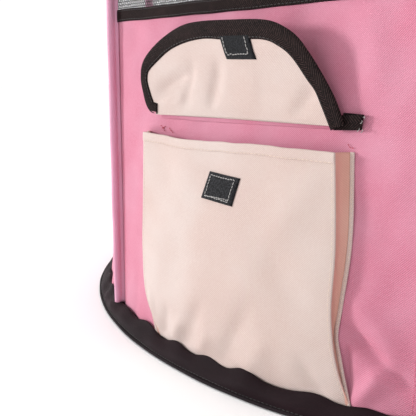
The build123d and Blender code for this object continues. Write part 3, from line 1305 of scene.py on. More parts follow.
@dataclass
class Base:
    """Round floor, soft band round its edge, and the cord in the band's hem."""

    finishes: Finishes
    floor_radius: float = 0.404
    floor_thickness: float = 0.0025
    band_width: float = 0.0245
    cord_radius: float = 0.0013
    steps: int = 720
    # the rows of the band's grid that are sewn, near the hem and near the walls
    seam_rows: tuple[int, int] = (31, 6)

    def floor(self) -> None:
        """Build the floor panel with its sewn rings and slight waves."""
        rings, spokes = 90, 240
        radius = np.linspace(0.004, self.floor_radius, rings)[:, None]
        angle = np.arange(spokes)[None, :] * 2 * math.pi / spokes
        x, y = radius * np.cos(angle), radius * np.sin(angle)
        waves = 0.0012 * ripple(x, y, 0.09, 5) * ease(self.floor_radius - radius, 0.0, 0.03)
        z = self.floor_thickness + np.maximum(waves, -0.0008) + 0 * angle
        points = np.stack(np.broadcast_arrays(x, y, z), -1)
        work = Patchwork("floor_panel")
        work.sheet(points, points[..., :2], 0.0012, UP, wrap=True)
        for share in (0.975, 0.5):
            turn = np.linspace(0, 2 * math.pi, 500)
            seam = self.floor_radius * share
            height = np.full(500, self.floor_thickness + 0.0008)
            line = np.stack([seam * np.cos(turn), seam * np.sin(turn), height], 1)
            sew(work, line, UP, stitch=0.004, gap=0.0012, mark=1)
        piece = work.build(self.finishes.base, self.finishes.black_thread)
        settle(piece, Body.PEN, Slot.BASE, ("base_floor",))

    def band(self) -> None:
        """Build the soft band that rolls over the floor's edge up to the walls."""
        angle = np.linspace(0, 2 * math.pi, self.steps, endpoint=False)
        round_x, round_y = SHAPE.corner_radius * np.cos(angle), SHAPE.corner_radius * np.sin(angle)
        lip = ripple(round_x, round_y, 0.046, 3)
        crease = ripple(round_x, round_y, 0.03, 4)
        droop = ripple(round_x, round_y, 0.12, 8)
        out = SHAPE.base_radius - SHAPE.corner_radius
        # how far out, height, how much the lip's waves lift it, how much the creases push it out
        profile = (
            (-0.0040, 0.0105, 0.0, 0.0),
            (-0.0004, 0.0125, 0.0010, 0.0),
            (0.0014, 0.0148, 0.0026, 0.0003),
            (0.0026, 0.0154, 0.0029, 0.0005),
            (0.0044, 0.0143, 0.0018, 0.0010),
            (0.0070, 0.0122, 0.0009, 0.0015),
            (0.0096, 0.0098, 0.0004, 0.0017),
            (0.0114, 0.0072, 0.0, 0.0013),
            (out - 0.0026, 0.0042, 0.0, 0.0005),
            (out - 0.0022, 0.0016, 0.0, 0.0),
        )
        rows = Curve(profile).along(34)
        radius = SHAPE.corner_radius + rows[:, :1] + rows[:, 3:] * (crease + 0.8 * droop)
        height = rows[:, 1:2] + rows[:, 2:3] * lip + 0.35 * rows[:, 3:] * crease
        points = np.stack([radius * np.cos(angle), radius * np.sin(angle), height], -1)
        around, over = angle * SHAPE.corner_radius, travelled(rows[:, :2])[:, None]
        flats = np.stack(np.broadcast_arrays(around, over), -1)
        work = Patchwork("base_band_cloth")
        work.sheet(points, flats, 0.0009, unit(points * np.array([1, 1, 0]) + [0, 0, 0.2]), wrap=True)
        for row in self.seam_rows:
            line = np.concatenate([points[row], points[row][:1]])
            up = unit(line * np.array([1, 1, 0]) + np.array([0, 0, 0.25]))
            sew(work, line, up, mark=1, thread=0.0005)
        piece = work.build(self.finishes.base, self.finishes.black_thread)
        settle(piece, Body.PEN, Slot.BASE, ("base_band",))

    def cord(self) -> None:
        """Build the cord in the hem."""
        angle = np.linspace(0, 2 * math.pi, self.steps, endpoint=False)
        x, y = np.cos(angle), np.sin(angle)
        middle = SHAPE.base_radius - self.cord_radius
        wobble = 0.0003 * ripple(x * middle, y * middle, 0.06, 6)
        out = np.stack([x, y, 0 * x], 1)
        line = out * (middle + wobble)[:, None] + np.array([0, 0, self.cord_radius + 0.0003])
        turn = np.linspace(0, 2 * math.pi, 12, endpoint=False)
        section = np.stack([np.cos(turn), np.sin(turn)], 1) * self.cord_radius
        work = Patchwork("base_hem_cord")
        sweep_tape(work, line, out, UP, section, closed=True)
        fin = np.array([(-0.003, -0.0003), (0.0, -0.0003), (0.0, 0.0004), (-0.003, 0.0004)])
        sweep_tape(work, line - out * 0.0008, out, UP, fin, closed=True)
        settle(work.build(self.finishes.piping), Body.PEN, Slot.PIPING, ("base_piping",))

    def build(self) -> None:
        """Build the base's pieces."""
        self.floor()
        self.band()
        self.cord()


# ---- door outline


@dataclass(frozen=True)
class DoorOutline:
    """The line on the wall where the door's two zip halves meet."""

    half_width: float
    low: float
    high: float
    corner: float

    @staticmethod
    def from_frame() -> "DoorOutline":
        """Read the outline from the door's zip.

        Returns:
            The outline.
        """
        low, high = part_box("door_zip")
        gap = 0.0002
        return DoorOutline((high.y - low.y) / 2 + gap, low.z - gap, high.z, 0.032)

    def path(self, margin: float, top: float, count: int) -> Array:
        """The outline as (across, height) points, from the top left, round the bottom.

        Args:
            margin: how far outside the line, negative for inside.
            top: the height where it starts and ends.
            count: how many points to give.

        Returns:
            An array of points.
        """
        half, low, corner = self.half_width + margin, self.low - margin, self.corner + margin
        bend = np.linspace(0, math.pi / 2, 16)
        left = np.stack([-half + corner * (1 - np.cos(bend)), low + corner * (1 - np.sin(bend))], 1)
        right = left[::-1] * np.array([-1, 1])
        line = np.concatenate([[(-half, top)], left, right, [(half, top)]])
        return spaced(line, count)


DOOR = DoorOutline.from_frame()


# ---- walls and windows


@dataclass
class Walls:
    """Eight pink cloth walls, flaring from a straight top to the round base."""

    finishes: Finishes
    cloth: float = 0.0012
    columns: int = 132
    rows: int = 122
    foot: float = 0.0115
    door_gap: float = 0.003
    folds: tuple[Fold, ...] = (
        Fold((0.1225, 0.014), (0.117, 0.066), 0.0040, -0.0050),
        Fold((0.129, 0.016), (0.152, 0.052), 0.0065, 0.0056),
        Fold((0.117, 0.068), (0.164, 0.034), 0.0050, -0.0058),
        Fold((0.122, 0.088), (0.158, 0.056), 0.0075, 0.0030),
        Fold((-0.118, 0.020), (-0.112, 0.075), 0.008, -0.0016),
        Fold((0.060, 0.280), (0.076, 0.232), 0.011, -0.0028),
        Fold((0.118, 0.280), (0.128, 0.215), 0.012, 0.0022),
        Fold((-0.060, 0.287), (-0.020, 0.281), 0.006, -0.0012),
    )

    def relief(self, side: int, x: Array, z: Array) -> Array:
        """The cloth's lift off the plain wall, with the pocket wall's own folds.

        Args:
            side: which wall.
            x: distance across from its middle.
            z: height.

        Returns:
            Distance out at each place.
        """
        lift = SHAPE.relief(side, x, z)
        if side == Wall.POCKET.value:
            place = x - POCKET_SLIDE
            lift = lift + sum(fold.lift(place, z) for fold in self.folds)
            inside = ease(place - Pocket.wall_left.at(z), -0.004, 0.004)
            inside = inside * ease(Pocket.wall_right.at(z) - place, -0.004, 0.003)
            inside = inside * (1 - ease(z, 0.188, 0.196))
            return lift * (1 - inside) - 0.0008 * inside
        if side == Wall.DOOR.value:
            beyond = np.maximum(np.abs(x) - DOOR.half_width, DOOR.low - z)
            clear = ease(beyond, 0.013, 0.032)
            return np.minimum(lift, 0) * (1 - clear) * 0.2 + lift * clear
        return lift

    def panel(self, side: int) -> None:
        """Build one wall.

        Args:
            side: which wall.
        """
        work = Patchwork(f"wall_panel_{side + 1}")
        has_door = side == Wall.DOOR.value
        if has_door:
            x, z = self._round_door()
        else:
            near = np.array([0, 0.0006, 0.0012, 0.0018, 0.0025, 0.0033, 0.0044, 0.006])
            far = np.linspace(0.008, SHAPE.half_side, self.columns // 2, endpoint=False)
            edge = np.concatenate([near, far]) - SHAPE.half_side
            x, z = np.meshgrid(
                np.concatenate([edge, [0.0], -edge[::-1]]),
                np.linspace(self.foot, SHAPE.tape_top - LAP, self.rows),
            )
        points = SHAPE.place(side, x, z, self.relief(side, x, z))
        facing = SHAPE.directions(side)[1]
        work.sheet(points, np.stack([x, z], -1), self.cloth, facing, wrap=has_door)
        self._seams(work, side)
        piece = work.build(self.finishes.wall, self.finishes.pink_thread)
        settle(piece, Body.PEN, Slot.WALL, (f"wall_{side + 1}",))

    def _round_door(self) -> tuple[Array, Array]:
        """Lay a grid from the doorway's edge out to the wall's edge.

        Returns:
            Distance across and height of each grid place.
        """
        half, foot, head = SHAPE.half_side, self.foot, SHAPE.tape_top - LAP
        door_edge = DOOR.path(self.door_gap, DOOR.high, 301)
        middle = len(door_edge) // 2
        cut = int(len(door_edge) * 0.36)
        counts = (70, 60, 70, 60)
        inner = (
            door_edge[: cut + 1],
            door_edge[cut : 2 * middle - cut + 1],
            door_edge[2 * middle - cut :],
            np.array([door_edge[-1], door_edge[0]]),
        )
        corners = np.array([(-half, head), (-half, foot), (half, foot), (half, head), (-half, head)])
        near = [spaced(line, n)[:-1] for line, n in zip(inner, counts)]
        far = [spaced(corners[k : k + 2], n)[:-1] for k, n in enumerate(counts)]
        share = np.linspace(0, 1, 30)[:, None, None]
        grid = np.concatenate(near) * (1 - share) + np.concatenate(far) * share
        return grid[..., 0], grid[..., 1]

    def _seams(self, work: Patchwork, side: int) -> None:
        """Sew the wall down beside its two corners.

        Args:
            work: the wall's piece.
            side: which wall.
        """
        for sign in (-1, 1):
            z = np.linspace(self.foot + 0.006, SHAPE.tape_bottom - 0.002, 160)
            x = np.full_like(z, sign * (SHAPE.half_side - 0.0075))
            line = SHAPE.place(side, x, z, self.relief(side, x, z))
            out = SHAPE.directions(side)[1]
            sew(work, line, out, stitch=0.0028, thread=0.0005, mark=1, sink=0.0002)

    def build(self) -> None:
        """Build all the walls."""
        for side in range(SIDES):
            self.panel(side)


@dataclass
class Windows:
    """Eight net windows, with a tape along their lower edges and one round the rim."""

    finishes: Finishes
    net: float = 0.0004
    tape: float = 0.0010
    # how far the stitches stay inside the tape's edges, and the tape short of the corners
    margin: float = 0.0016
    end: float = 0.0016

    def window(self, side: int) -> None:
        """Build one window's net.

        Args:
            side: which wall it is in.
        """
        x, z = np.meshgrid(
            np.linspace(-SHAPE.half_side, SHAPE.half_side, 60),
            np.linspace(SHAPE.tape_top - LAP, SHAPE.rim, 30),
        )
        middle = np.sin(math.pi * (z - SHAPE.tape_top) / (SHAPE.rim - SHAPE.tape_top))
        free = ease(SHAPE.half_side - np.abs(x), 0, 0.05) * np.clip(middle, 0, 1)
        sag = free * (0.0012 * ripple(x, z, 0.12, 90 + side) - 0.0014)
        work = Patchwork(f"window_net_{side + 1}")
        points = SHAPE.place(side, x, z, sag - 0.0003)
        work.sheet(points, np.stack([x, z], -1), self.net, SHAPE.directions(side)[1])
        piece = settle(work.build(self.finishes.net), Body.PEN, Slot.MESH, (f"window_{side + 1}",))

    def ring(self, name: str, low: float, high: float, node: str, seed: int, sag: float) -> None:
        """Build one tape round all eight sides, with its two rows of stitches.

        Args:
            name: the piece's name.
            low: the tape's lower edge.
            high: its upper edge.
            node: the frame's node that it stands for.
            seed: which waves it has.
            sag: how far it hangs between corners.
        """
        work = Patchwork(name)
        section = tape_section(high - low, self.tape)
        for side in range(SIDES):
            outward = SHAPE.directions(side)[1]
            x = np.linspace(-SHAPE.half_side + self.end, SHAPE.half_side - self.end, 130)
            droop = sag * (1 - (x / SHAPE.half_side) ** 2)
            wave = 0.0005 * ripple(x, 0 * x, 0.05, seed + side)
            z = (low + high) / 2 - droop + wave
            lift = 0.0004 * ripple(x, 0 * x, 0.07, seed + 20 + side) + 0.0002
            base = SHAPE.place(side, x, np.full_like(x, high), lift)
            base[:, 2] = z
            sweep_tape(work, base, UP, outward, section)
            for edge in (-1, 1):
                row = base + UP * edge * ((high - low) / 2 - self.margin) + outward * self.tape
                sew(work, row, outward, thread=0.0005, mark=1)
        piece = work.build(self.finishes.tape, self.finishes.black_thread)
        settle(piece, Body.PEN, Slot.TAPE, (node,))

    def build(self) -> None:
        """Build the windows and both tapes."""
        for side in range(SIDES):
            self.window(side)
        rim_low, rim_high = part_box("rim_tape")
        self.ring("window_binding", SHAPE.tape_bottom, SHAPE.tape_top, "window_tape", 110, 0.0008)
        self.ring("rim_binding", rim_low.z, rim_high.z, "rim_tape", 150, 0.0003)


@dataclass
class Sleeves:
    """A cloth sleeve with a rod in it, standing out at each corner."""

    finishes: Finishes
    levels: int = 150
    # distance out from the corner and half the width there, round the rod
    half_section: tuple[tuple[float, float], ...] = (
        (-0.0012, 0.0017), (0.0010, 0.0015), (0.0028, 0.0017), (0.0046, 0.0027),
        (0.0064, 0.0031), (0.0081, 0.0025), (0.0091, 0.0013), (0.0094, 0.0000),
    )

    def sleeve(self, corner: int) -> None:
        """Build one corner's sleeve.

        Args:
            corner: which corner; each comes just before the wall of the same number.
        """
        across, outward = SHAPE.directions(corner - 0.5)
        half = Curve(self.half_section).along(15)
        loop = np.concatenate([half, half[-2::-1] * np.array([1, -1])])
        z = np.linspace(SHAPE.band_top + 0.0006, SHAPE.rim, self.levels)
        sway = 0.0004 * ripple(z, 0 * z, 0.08, 200 + corner)
        swell = 1 + 0.07 * ripple(z, 0 * z, 0.035, 220 + corner)
        reach = 1 + 0.03 * ripple(z, 0 * z, 0.05, 240 + corner)
        radius = SHAPE.corner_radius + loop[None, :, 0] * reach[:, None]
        aside = loop[None, :, 1] * swell[:, None] + sway[:, None] * ease(loop[None, :, 0], 0, 0.006)
        points = radius[..., None] * outward + aside[..., None] * across + z[:, None, None] * UP
        around = travelled(loop)
        flats = np.stack(np.broadcast_arrays(around[None, :], z[:, None]), -1)
        work = Patchwork(f"sleeve_{corner + 1}")
        work.sweep(points, flats)
        for sign in (-1, 1):
            line = (
                outward * (SHAPE.corner_radius + 0.0029)
                + across * sign * 0.0019
                + np.stack([0 * z, 0 * z, z], 1)[2:-2]
            )
            sew(work, line, across * sign, thread=0.0004, mark=1)
        # the sleeve cloth is the paler, cooler pink of painted light
        piece = work.build(self.finishes.sleeve, self.finishes.pink_thread)
        settle(piece, Body.PEN, Slot.SLEEVE, (f"corner_sleeve_{corner + 1}",))

    def build(self) -> None:
        """Build the sleeves and dress the rods in them."""
        for corner in range(SIDES):
            self.sleeve(corner)
            dress(f"corner_rod_{corner + 1}", self.finishes.rod)


def dress(node: str, finish: Material) -> None:
    """Give one of the frame's own pieces its finish.

    Args:
        node: the piece's name.
        finish: its material.
    """
    piece = frame["nodes"][node]
    piece.data.materials.clear()
    piece.data.materials.append(finish)
    log.info("%s: dressed", node)


# ---- pocket


@dataclass
class Pocket:
    """Beige patch pocket with bellows sides, a hem along its mouth and a loop patch."""

    finishes: Finishes
    cloth: float = 0.0011
    flat: tuple[float, float] = (0.203, 0.177)
    bottom: float = 0.0125
    # the share of the height where the mouth's hem starts
    hem_from: float = 0.956
    side: int = Wall.POCKET.value
    columns: int = 150
    rows: int = 130
    # height and distance across, for the front's left and right edges
    left: Profile = Profile(
        (
            (0.0125, -0.066), (0.022, -0.0725), (0.041, -0.085), (0.085, -0.0928),
            (0.135, -0.0945), (0.19, -0.0965),
        )
    )
    right: Profile = Profile(
        (
            (0.0125, 0.1262), (0.020, 0.1238), (0.045, 0.1165), (0.074, 0.1122),
            (0.123, 0.1118), (0.19, 0.1062),
        )
    )
    # height and how far the front stands off the wall
    depth: Profile = Profile(
        (
            (0.0125, 0.0004), (0.020, 0.0022), (0.032, 0.0046), (0.060, 0.0074),
            (0.120, 0.0095), (0.19, 0.0106),
        )
    )
    # share across and height of the mouth
    mouth: Profile = Profile(
        ((0.0, 0.1905), (0.12, 0.1898), (0.3, 0.1880), (0.5, 0.1888), (0.75, 0.1893), (1.0, 0.1882))
    )
    # height and distance across, where the bellows meet the wall
    wall_right: Profile = Profile(
        (
            (0.0125, 0.1240), (0.047, 0.1146), (0.061, 0.1112), (0.079, 0.1122),
            (0.123, 0.1152), (0.19, 0.1116),
        )
    )
    wall_left: Profile = Profile(
        ((0.0125, -0.0700), (0.045, -0.0885), (0.085, -0.0955), (0.123, -0.0990), (0.19, -0.1005))
    )
    folds: tuple[Fold, ...] = (
        Fold((-0.072, 0.020), (-0.080, 0.052), 0.006, 0.0022),
        Fold((-0.060, 0.014), (-0.050, 0.045), 0.006, -0.0024),
        Fold((-0.046, 0.014), (-0.030, 0.040), 0.006, 0.0022),
        Fold((-0.030, 0.014), (-0.004, 0.062), 0.008, -0.0030),
        Fold((-0.012, 0.014), (0.004, 0.036), 0.006, 0.0020),
        Fold((0.016, 0.014), (0.046, 0.072), 0.009, -0.0026),
        Fold((0.040, 0.014), (0.064, 0.048), 0.008, 0.0018),
        Fold((0.108, 0.014), (0.088, 0.040), 0.007, -0.0024),
        Fold((-0.086, 0.178), (-0.040, 0.150), 0.012, -0.0016),
        Fold((0.098, 0.176), (0.060, 0.120), 0.014, 0.0016),
        Fold((0.060, 0.110), (0.096, 0.070), 0.012, -0.0016),
    )

    def place(self, x: Array, z: Array, out: Array | float) -> Array:
        """Points off the wall, counted across from the pocket's own middle line."""
        return SHAPE.place(self.side, np.asarray(x) + POCKET_SLIDE, z, out)

    def spot(self, s: Array, t: Array) -> tuple[Array, Array]:
        """Places on the pocket's front.

        Args:
            s: 0 at the left edge, 1 at the right.
            t: 0 at the bottom, 1 at the mouth.

        Returns:
            Distance across and height.
        """
        top = self.mouth.at(s) + 0.0004 * ripple(s * 0.2, 0 * s, 0.03, 301)
        z = self.bottom + (top - self.bottom) * t
        return self.left.at(z) * (1 - s) + self.right.at(z) * s, z

    def off(self, x: Array, z: Array, s: Array) -> Array:
        """How far the pocket's front stands off the wall.

        Args:
            x: distance across.
            z: height.
            s: share across, from the left edge to the right.

        Returns:
            Distance out at each place.
        """
        belly = np.sin(math.pi * np.clip(s, 0, 1)) ** 0.7
        lift = 0.0016 * belly * ease(z, 0.02, 0.08) * (1 - ease(z, 0.14, 0.188))
        foot = np.exp(-(z - self.bottom) / 0.03)
        soft = 0.0006 * ripple(x, z, 0.06, 303) + 0.0005 * ripple(x, z, 0.028, 305) * foot
        loose = ease(z, self.bottom, 0.02) * ease(s, 0, 0.05) * ease(1 - s, 0, 0.05)
        return self.depth.at(z) + lift + loose * (soft + sum(fold.lift(x, z) for fold in self.folds))

    def point(self, s: Array, t: Array, out: float = 0.0) -> Array:
        """Points on the pocket's front, or this far in front of it."""
        x, z = self.spot(s, t)
        return self.place(x, z, self.off(x, z, s) + out)

    def front(self) -> None:
        """Build the front panel."""
        s, t = np.meshgrid(np.linspace(0, 1, self.columns), np.linspace(0, 1, self.rows))
        x, z = self.spot(s, t)
        work = Patchwork("pocket_panel")
        outward = SHAPE.directions(self.side)[1]
        work.sheet(self.point(s, t), np.stack([x, z], -1), self.cloth, outward)
        for edge in (0.012, 0.988):
            t_line = np.linspace(0.03, 0.985, 200)
            line = self.point(np.full_like(t_line, edge), t_line)
            sew(work, line, outward, thread=0.00045, mark=1, sink=0.0002)
        piece = work.build(self.finishes.beige, self.finishes.beige_thread)
        settle(piece, Body.PEN, Slot.POCKET, ("pocket_front",))

    def bellows(self) -> None:
        """Build both pleated sides, with the flanges that hold them to the wall."""
        work = Patchwork("pocket_bellows")
        w = np.linspace(0, 1, 12)[:, None]
        t = np.linspace(0, 1, 120)[None, :]
        for s_edge, wall_edge, inward in ((0.0, self.wall_left, 1), (1.0, self.wall_right, -1)):
            s = np.full_like(t, s_edge)
            x_front, z = self.spot(s, t)
            x_back = wall_edge.at(z)
            near = self.off(x_front, z, s) - self.cloth * 0.5
            pleat = np.sin(math.pi * w) * (0.0016 + 0.0006 * ripple(z, 0 * z, 0.04, 311))
            x = x_back * (1 - w) + x_front * w + inward * pleat
            out = 0.0005 + (near - 0.0005) * w
            points = self.place(x, z, out)
            side_way = SHAPE.directions(self.side)[0] * -inward
            flats = np.stack(np.broadcast_arrays(z, out), -1)
            work.sheet(points, flats, 0.0008, side_way)
            self._flange(work, x_back[0], z[0], -inward)
        # the bellows' cloth takes the darker, redder painted-shade copy of the beige; the flanges take
        # the beige itself
        piece = work.build(self.finishes.gusset, self.finishes.beige_thread, self.finishes.beige)
        settle(piece, Body.PEN, Slot.POCKET, ("pocket_gusset",))

    def _flange(self, work: Patchwork, x: Array, z: Array, way: int) -> None:
        """Lay the bellows' narrow flange on the wall and sew it down.

        Args:
            work: the bellows' piece.
            x: distance across of the bellows' edge on the wall.
            z: its heights.
            way: which way the flange turns, -1 or 1.
        """
        across, outward = SHAPE.directions(self.side)
        middle = x + way * 0.0012
        lift = SHAPE.relief(self.side, middle + POCKET_SLIDE, z) * 0.3
        line = self.place(middle, z, np.maximum(lift, 0) + 0.0001)
        thick = 0.0011
        sweep_tape(work, line, across, outward, tape_section(0.0032, thick), mark=2)
        row = line + outward * thick + across * way * 0.0004
        sew(work, row, outward, stitch=0.0022, thread=0.0005, mark=1)

    def hem(self) -> None:
        """Build the doubled hem along the mouth."""
        s, t = np.meshgrid(np.linspace(0, 1, self.columns), np.linspace(self.hem_from, 1.0, 12))
        x, z = self.spot(s, t)
        share = (t - self.hem_from) / (1 - self.hem_from)
        rise = 0.0005 * np.sin(math.pi * np.clip(share, 0.02, 0.98)) ** 0.4
        outward = SHAPE.directions(self.side)[1]
        points = self.point(s, t, 0.00015) + outward * rise[..., None]
        work = Patchwork("pocket_mouth_hem")
        work.sheet(points, np.stack([x, z], -1), 0.0006, outward)
        s_line = np.linspace(0.01, 0.99, 200)
        line = self.point(s_line, np.full_like(s_line, self.hem_from + 0.0045), 0.0005)
        sew(work, line, outward, thread=0.00045, mark=1, sink=0.0001)
        piece = work.build(self.finishes.beige, self.finishes.beige_thread)
        settle(piece, Body.PEN, Slot.POCKET, ("pocket_hem",))

    def on_front(self, x: Array, z: Array, out: float) -> Array:
        """Points over the pocket's front.

        Args:
            x: distance across.
            z: height.
            out: how far off the front.

        Returns:
            Points in space.
        """
        left, right = self.left.at(z), self.right.at(z)
        s = (x - left) / (right - left)
        return self.place(x, z, self.off(x, z, s) + out)

    def patch(self) -> None:
        """Build the loop patch with its rough square of stitches."""
        corners = np.array([(-0.0118, 0.1440), (0.0232, 0.1418), (0.0284, 0.1634), (-0.0046, 0.1656)])
        row = ((0.12, 0.14), (0.88, 0.14), (0.88, 0.9), (0.12, 0.9), (0.12, 0.14), (0.86, 0.2))
        outward = SHAPE.directions(self.side)[1]
        work = lay_patch("loop_patch_tape", corners, self.on_front, outward, row)
        piece = work.build(self.finishes.loop, self.finishes.grey_thread)
        settle(piece, Body.PEN, Slot.LOOP, ("loop_patch",))

    def tacks(self) -> None:
        """Sew the small knots of red thread above the pocket's corners."""
        work = Patchwork("pocket_bar_tacks")
        out = SHAPE.directions(self.side)[1]
        rows = (
            ((-0.0835, 0.1965), (-0.0800, 0.1945), (-0.0772, 0.1918)),
            ((-0.0815, 0.1930), (-0.0795, 0.1950), (-0.0768, 0.1960)),
            ((-0.0720, 0.1950), (-0.0690, 0.1925), (-0.0655, 0.1912)),
            ((0.1085, 0.1935), (0.1110, 0.1915), (0.1135, 0.1908)),
        )
        for row in rows:
            line = Curve(row).along(12)
            z = line[:, 1]
            lift = SHAPE.relief(self.side, line[:, 0] + POCKET_SLIDE, z)
            points = self.place(line[:, 0], z, np.maximum(lift, 0) + 0.0002)
            sew(work, points, out, stitch=0.0016, gap=0.0003, messy=0.0004)
        settle(work.build(self.finishes.red_thread), Body.PEN, Slot.WALL)

    def build(self) -> None:
        """Build the pocket's pieces."""
        self.front()
        self.bellows()
        self.hem()
        self.patch()
        self.tacks()


def lay_patch(
    name: str,
    corners: Array,
    surface: Callable[[Array, Array, float], Array],
    out: Array,
    row: tuple[tuple[float, float], ...],
) -> Patchwork:
    """Lay a hook or loop patch on a surface and sew it down.

    Args:
        name: the piece's name.
        corners: lower left, lower right, upper right and upper left, on the surface.
        surface: gives points in space for two coordinates and a lift.
        out: the direction away from the surface.
        row: the stitches' route, as shares across and up the patch.

    Returns:
        The piece, its thread marked as the second finish.
    """

    def spot(s: Array, t: Array) -> Array:
        """A place on the patch.

        Args:
            s: share across.
            t: share up.

        Returns:
            The place's two coordinates on the surface.
        """
        low = corners[0] * (1 - s[..., None]) + corners[1] * s[..., None]
        high = corners[3] * (1 - s[..., None]) + corners[2] * s[..., None]
        return low * (1 - t[..., None]) + high * t[..., None]

    work = Patchwork(name)
    ends = np.concatenate([[0, 0.008, 0.03], np.linspace(0.06, 0.94, 24), [0.97, 0.992, 1]])
    s, t = np.meshgrid(ends, ends)
    edge = np.minimum(np.minimum(s, 1 - s), np.minimum(t, 1 - t))
    puff = 0.0013 * np.clip(edge / 0.045, 0, 1) ** 0.5 + 0.0001
    place = spot(s, t)
    lift = 0.0002
    points = surface(place[..., 0], place[..., 1], lift) + out * puff[..., None]
    work.sheet(points, place, 0.0009, out)
    route = spaced(np.array(row), 120)
    place = spot(route[:, 0], route[:, 1])
    line = surface(place[:, 0], place[:, 1], lift) + out * 0.00135
    sew(work, line, out, stitch=0.0022, gap=0.0004, thread=0.00075, mark=1, messy=0.00035)
    return work


# ---- flap


@dataclass
class Flap:
    """The pocket's flap, standing open: beige inside, pink outside, bound with tape."""

    finishes: Finishes
    cloth: float = 0.0013
    tape: float = 0.0009
    # the stitches' place across the binding, as a share of its width
    seam_at: float = 0.86
    # across and up from the hinge line, from the left end round to the right end
    outline: Curve = Curve(
        (
            (-0.0815, 0.0010), (-0.0900, 0.0022), (-0.0955, 0.0075), (-0.0990, 0.0170),
            (-0.1000, 0.0310), (-0.0930, 0.0452), (-0.0700, 0.0602), (-0.0430, 0.0702),
            (-0.0180, 0.0730), (0.0160, 0.0722), (0.0500, 0.0702), (0.0672, 0.0642),
            (0.0795, 0.0545), (0.0915, 0.0360), (0.1015, 0.0175), (0.1085, 0.0012),
        )
    )
    root: tuple[float, float] = (-0.0845, 0.1020)
    flat: tuple[float, float] = (0.204, 0.074)
    # share of the way round and the binding's width there
    width: Profile = Profile(
        (
            (0.0, 0.0088), (0.05, 0.0094), (0.14, 0.0098), (0.30, 0.0120), (0.45, 0.0126),
            (0.7, 0.0128), (1.0, 0.0112),
        )
    )
    folds: tuple[Fold, ...] = (
        Fold((-0.078, 0.018), (-0.036, 0.036), 0.0062, -0.0036),
        Fold((-0.070, 0.012), (-0.030, 0.022), 0.0060, 0.0014),
        Fold((-0.046, 0.008), (-0.030, 0.046), 0.0055, -0.0024),
        Fold((-0.016, 0.008), (0.000, 0.046), 0.0062, -0.0030),
        Fold((0.068, 0.004), (0.088, 0.026), 0.0065, -0.0022),
        Fold((0.020, 0.010), (0.034, 0.044), 0.0090, 0.0008),
    )

    def __post_init__(self) -> None:
        """Find the hinge and the way that the flap's inner face looks."""
        joint = next(j for j in frame["joints"] if j["name"] == "flap_hinge")
        self.hinge = np.array(joint["pos_m"], float)
        self.facing = np.array([0, -1.0, -0.15])

    def at(self, x: Array, v: Array, lift: Array | float = 0.0) -> Array:
        """Points on the flap's inner face.

        Args:
            x: distance across.
            v: distance up from the hinge line.
            lift: distance off the face.

        Returns:
            Points in space.
        """
        lean = np.radians(7.5 + 4.0 * ease(x, -0.09, 0.08))
        folds = sum(fold.lift(x, v) for fold in self.folds) + 0.0005 * ripple(x, v, 0.035, 401)
        soft = np.minimum(folds, 0.0006) * ease(v, 0.0, 0.012)
        bow = -0.0016 * np.sin(np.clip(v / 0.05, 0, 1) * math.pi) - 0.0012 * ease(v, 0.05, 0.085)
        off = lift + soft + bow * ease(v, 0, 0.02)
        y = self.hinge[1] - v * np.sin(lean) - off * np.cos(lean)
        z = self.hinge[2] + v * np.cos(lean) - off * np.sin(lean)
        droop = -0.0009 * ease(x, -0.02, 0.1) * (1 - ease(v, 0.0, 0.02))
        return np.stack(np.broadcast_arrays(x + POCKET_SLIDE, y, z + droop), -1)

    def panel(self) -> None:
        """Build the flap's two-layer cloth."""
        cols, rows = 170, 44
        edge = self.outline.along(cols)
        inner = edge + self._inward(edge) * 0.0012
        base = np.stack([np.linspace(*self.root, cols), np.zeros(cols)], 1)
        share = np.linspace(0, 1, rows)[:, None, None]
        grid = base * (1 - share) + inner * share
        work = Patchwork("flap_cloth")
        work.sheet(self.at(grid[..., 0], grid[..., 1]), grid, self.cloth, self.facing, back_mark=1)
        piece = work.build(self.finishes.beige, self.finishes.wall)
        settle(piece, Body.FLAP, Slot.POCKET, ("flap",))

    @staticmethod
    def _inward(edge: Array) -> Array:
        """The direction into the flap at each point of its outline."""
        heading = unit(np.gradient(edge, axis=0))
        return np.stack([heading[:, 1], -heading[:, 0]], 1)

    def binding(self) -> None:
        """Build the tape folded over the flap's edge."""
        count = 260
        edge = self.outline.along(count)
        inward = self._inward(edge)
        share = np.linspace(0, 1, count)
        wide = self.width.at(share) + 0.0007 * ripple(share * 0.3, 0 * share, 0.035, 411)
        # share of the width in from the edge, and lift off the flap's face
        loop = np.array(
            [
                (1.0, -0.0001), (0.97, 0.0007), (0.85, 0.0010), (0.5, 0.0012), (0.2, 0.0011),
                (0.04, 0.0008), (-0.05, 0.0), (-0.07, -0.0006), (-0.05, -0.0013),
                (0.04, -0.0021), (0.2, -0.0024), (0.5, -0.0025), (0.85, -0.0023),
                (0.95, -0.0020), (0.98, -0.0012),
            ]
        )
        place = edge[:, None, :] + inward[:, None, :] * (loop[None, :, :1] * wide[:, None, None])
        points = self.at(place[..., 0], np.maximum(place[..., 1], -0.004), loop[None, :, 1])
        along = travelled(edge)
        across = (0.5 - loop[:, 0]) * 0.0125
        work = Patchwork("flap_binding")
        work.sweep(points, np.stack(np.broadcast_arrays(along[:, None], across[None, :]), -1))
        row = (edge + inward * (wide * self.seam_at)[:, None])[6:-4]
        line = self.at(row[:, 0], row[:, 1], 0.0010)
        sew(work, line, self.facing, thread=0.0005, mark=1)
        piece = work.build(self.finishes.tape, self.finishes.black_thread)
        settle(piece, Body.FLAP, Slot.TAPE, ("flap_tape",))

    def tail(self) -> None:
        """Build the binding's folded end, sewn to the wall beside the flap, with loose threads."""
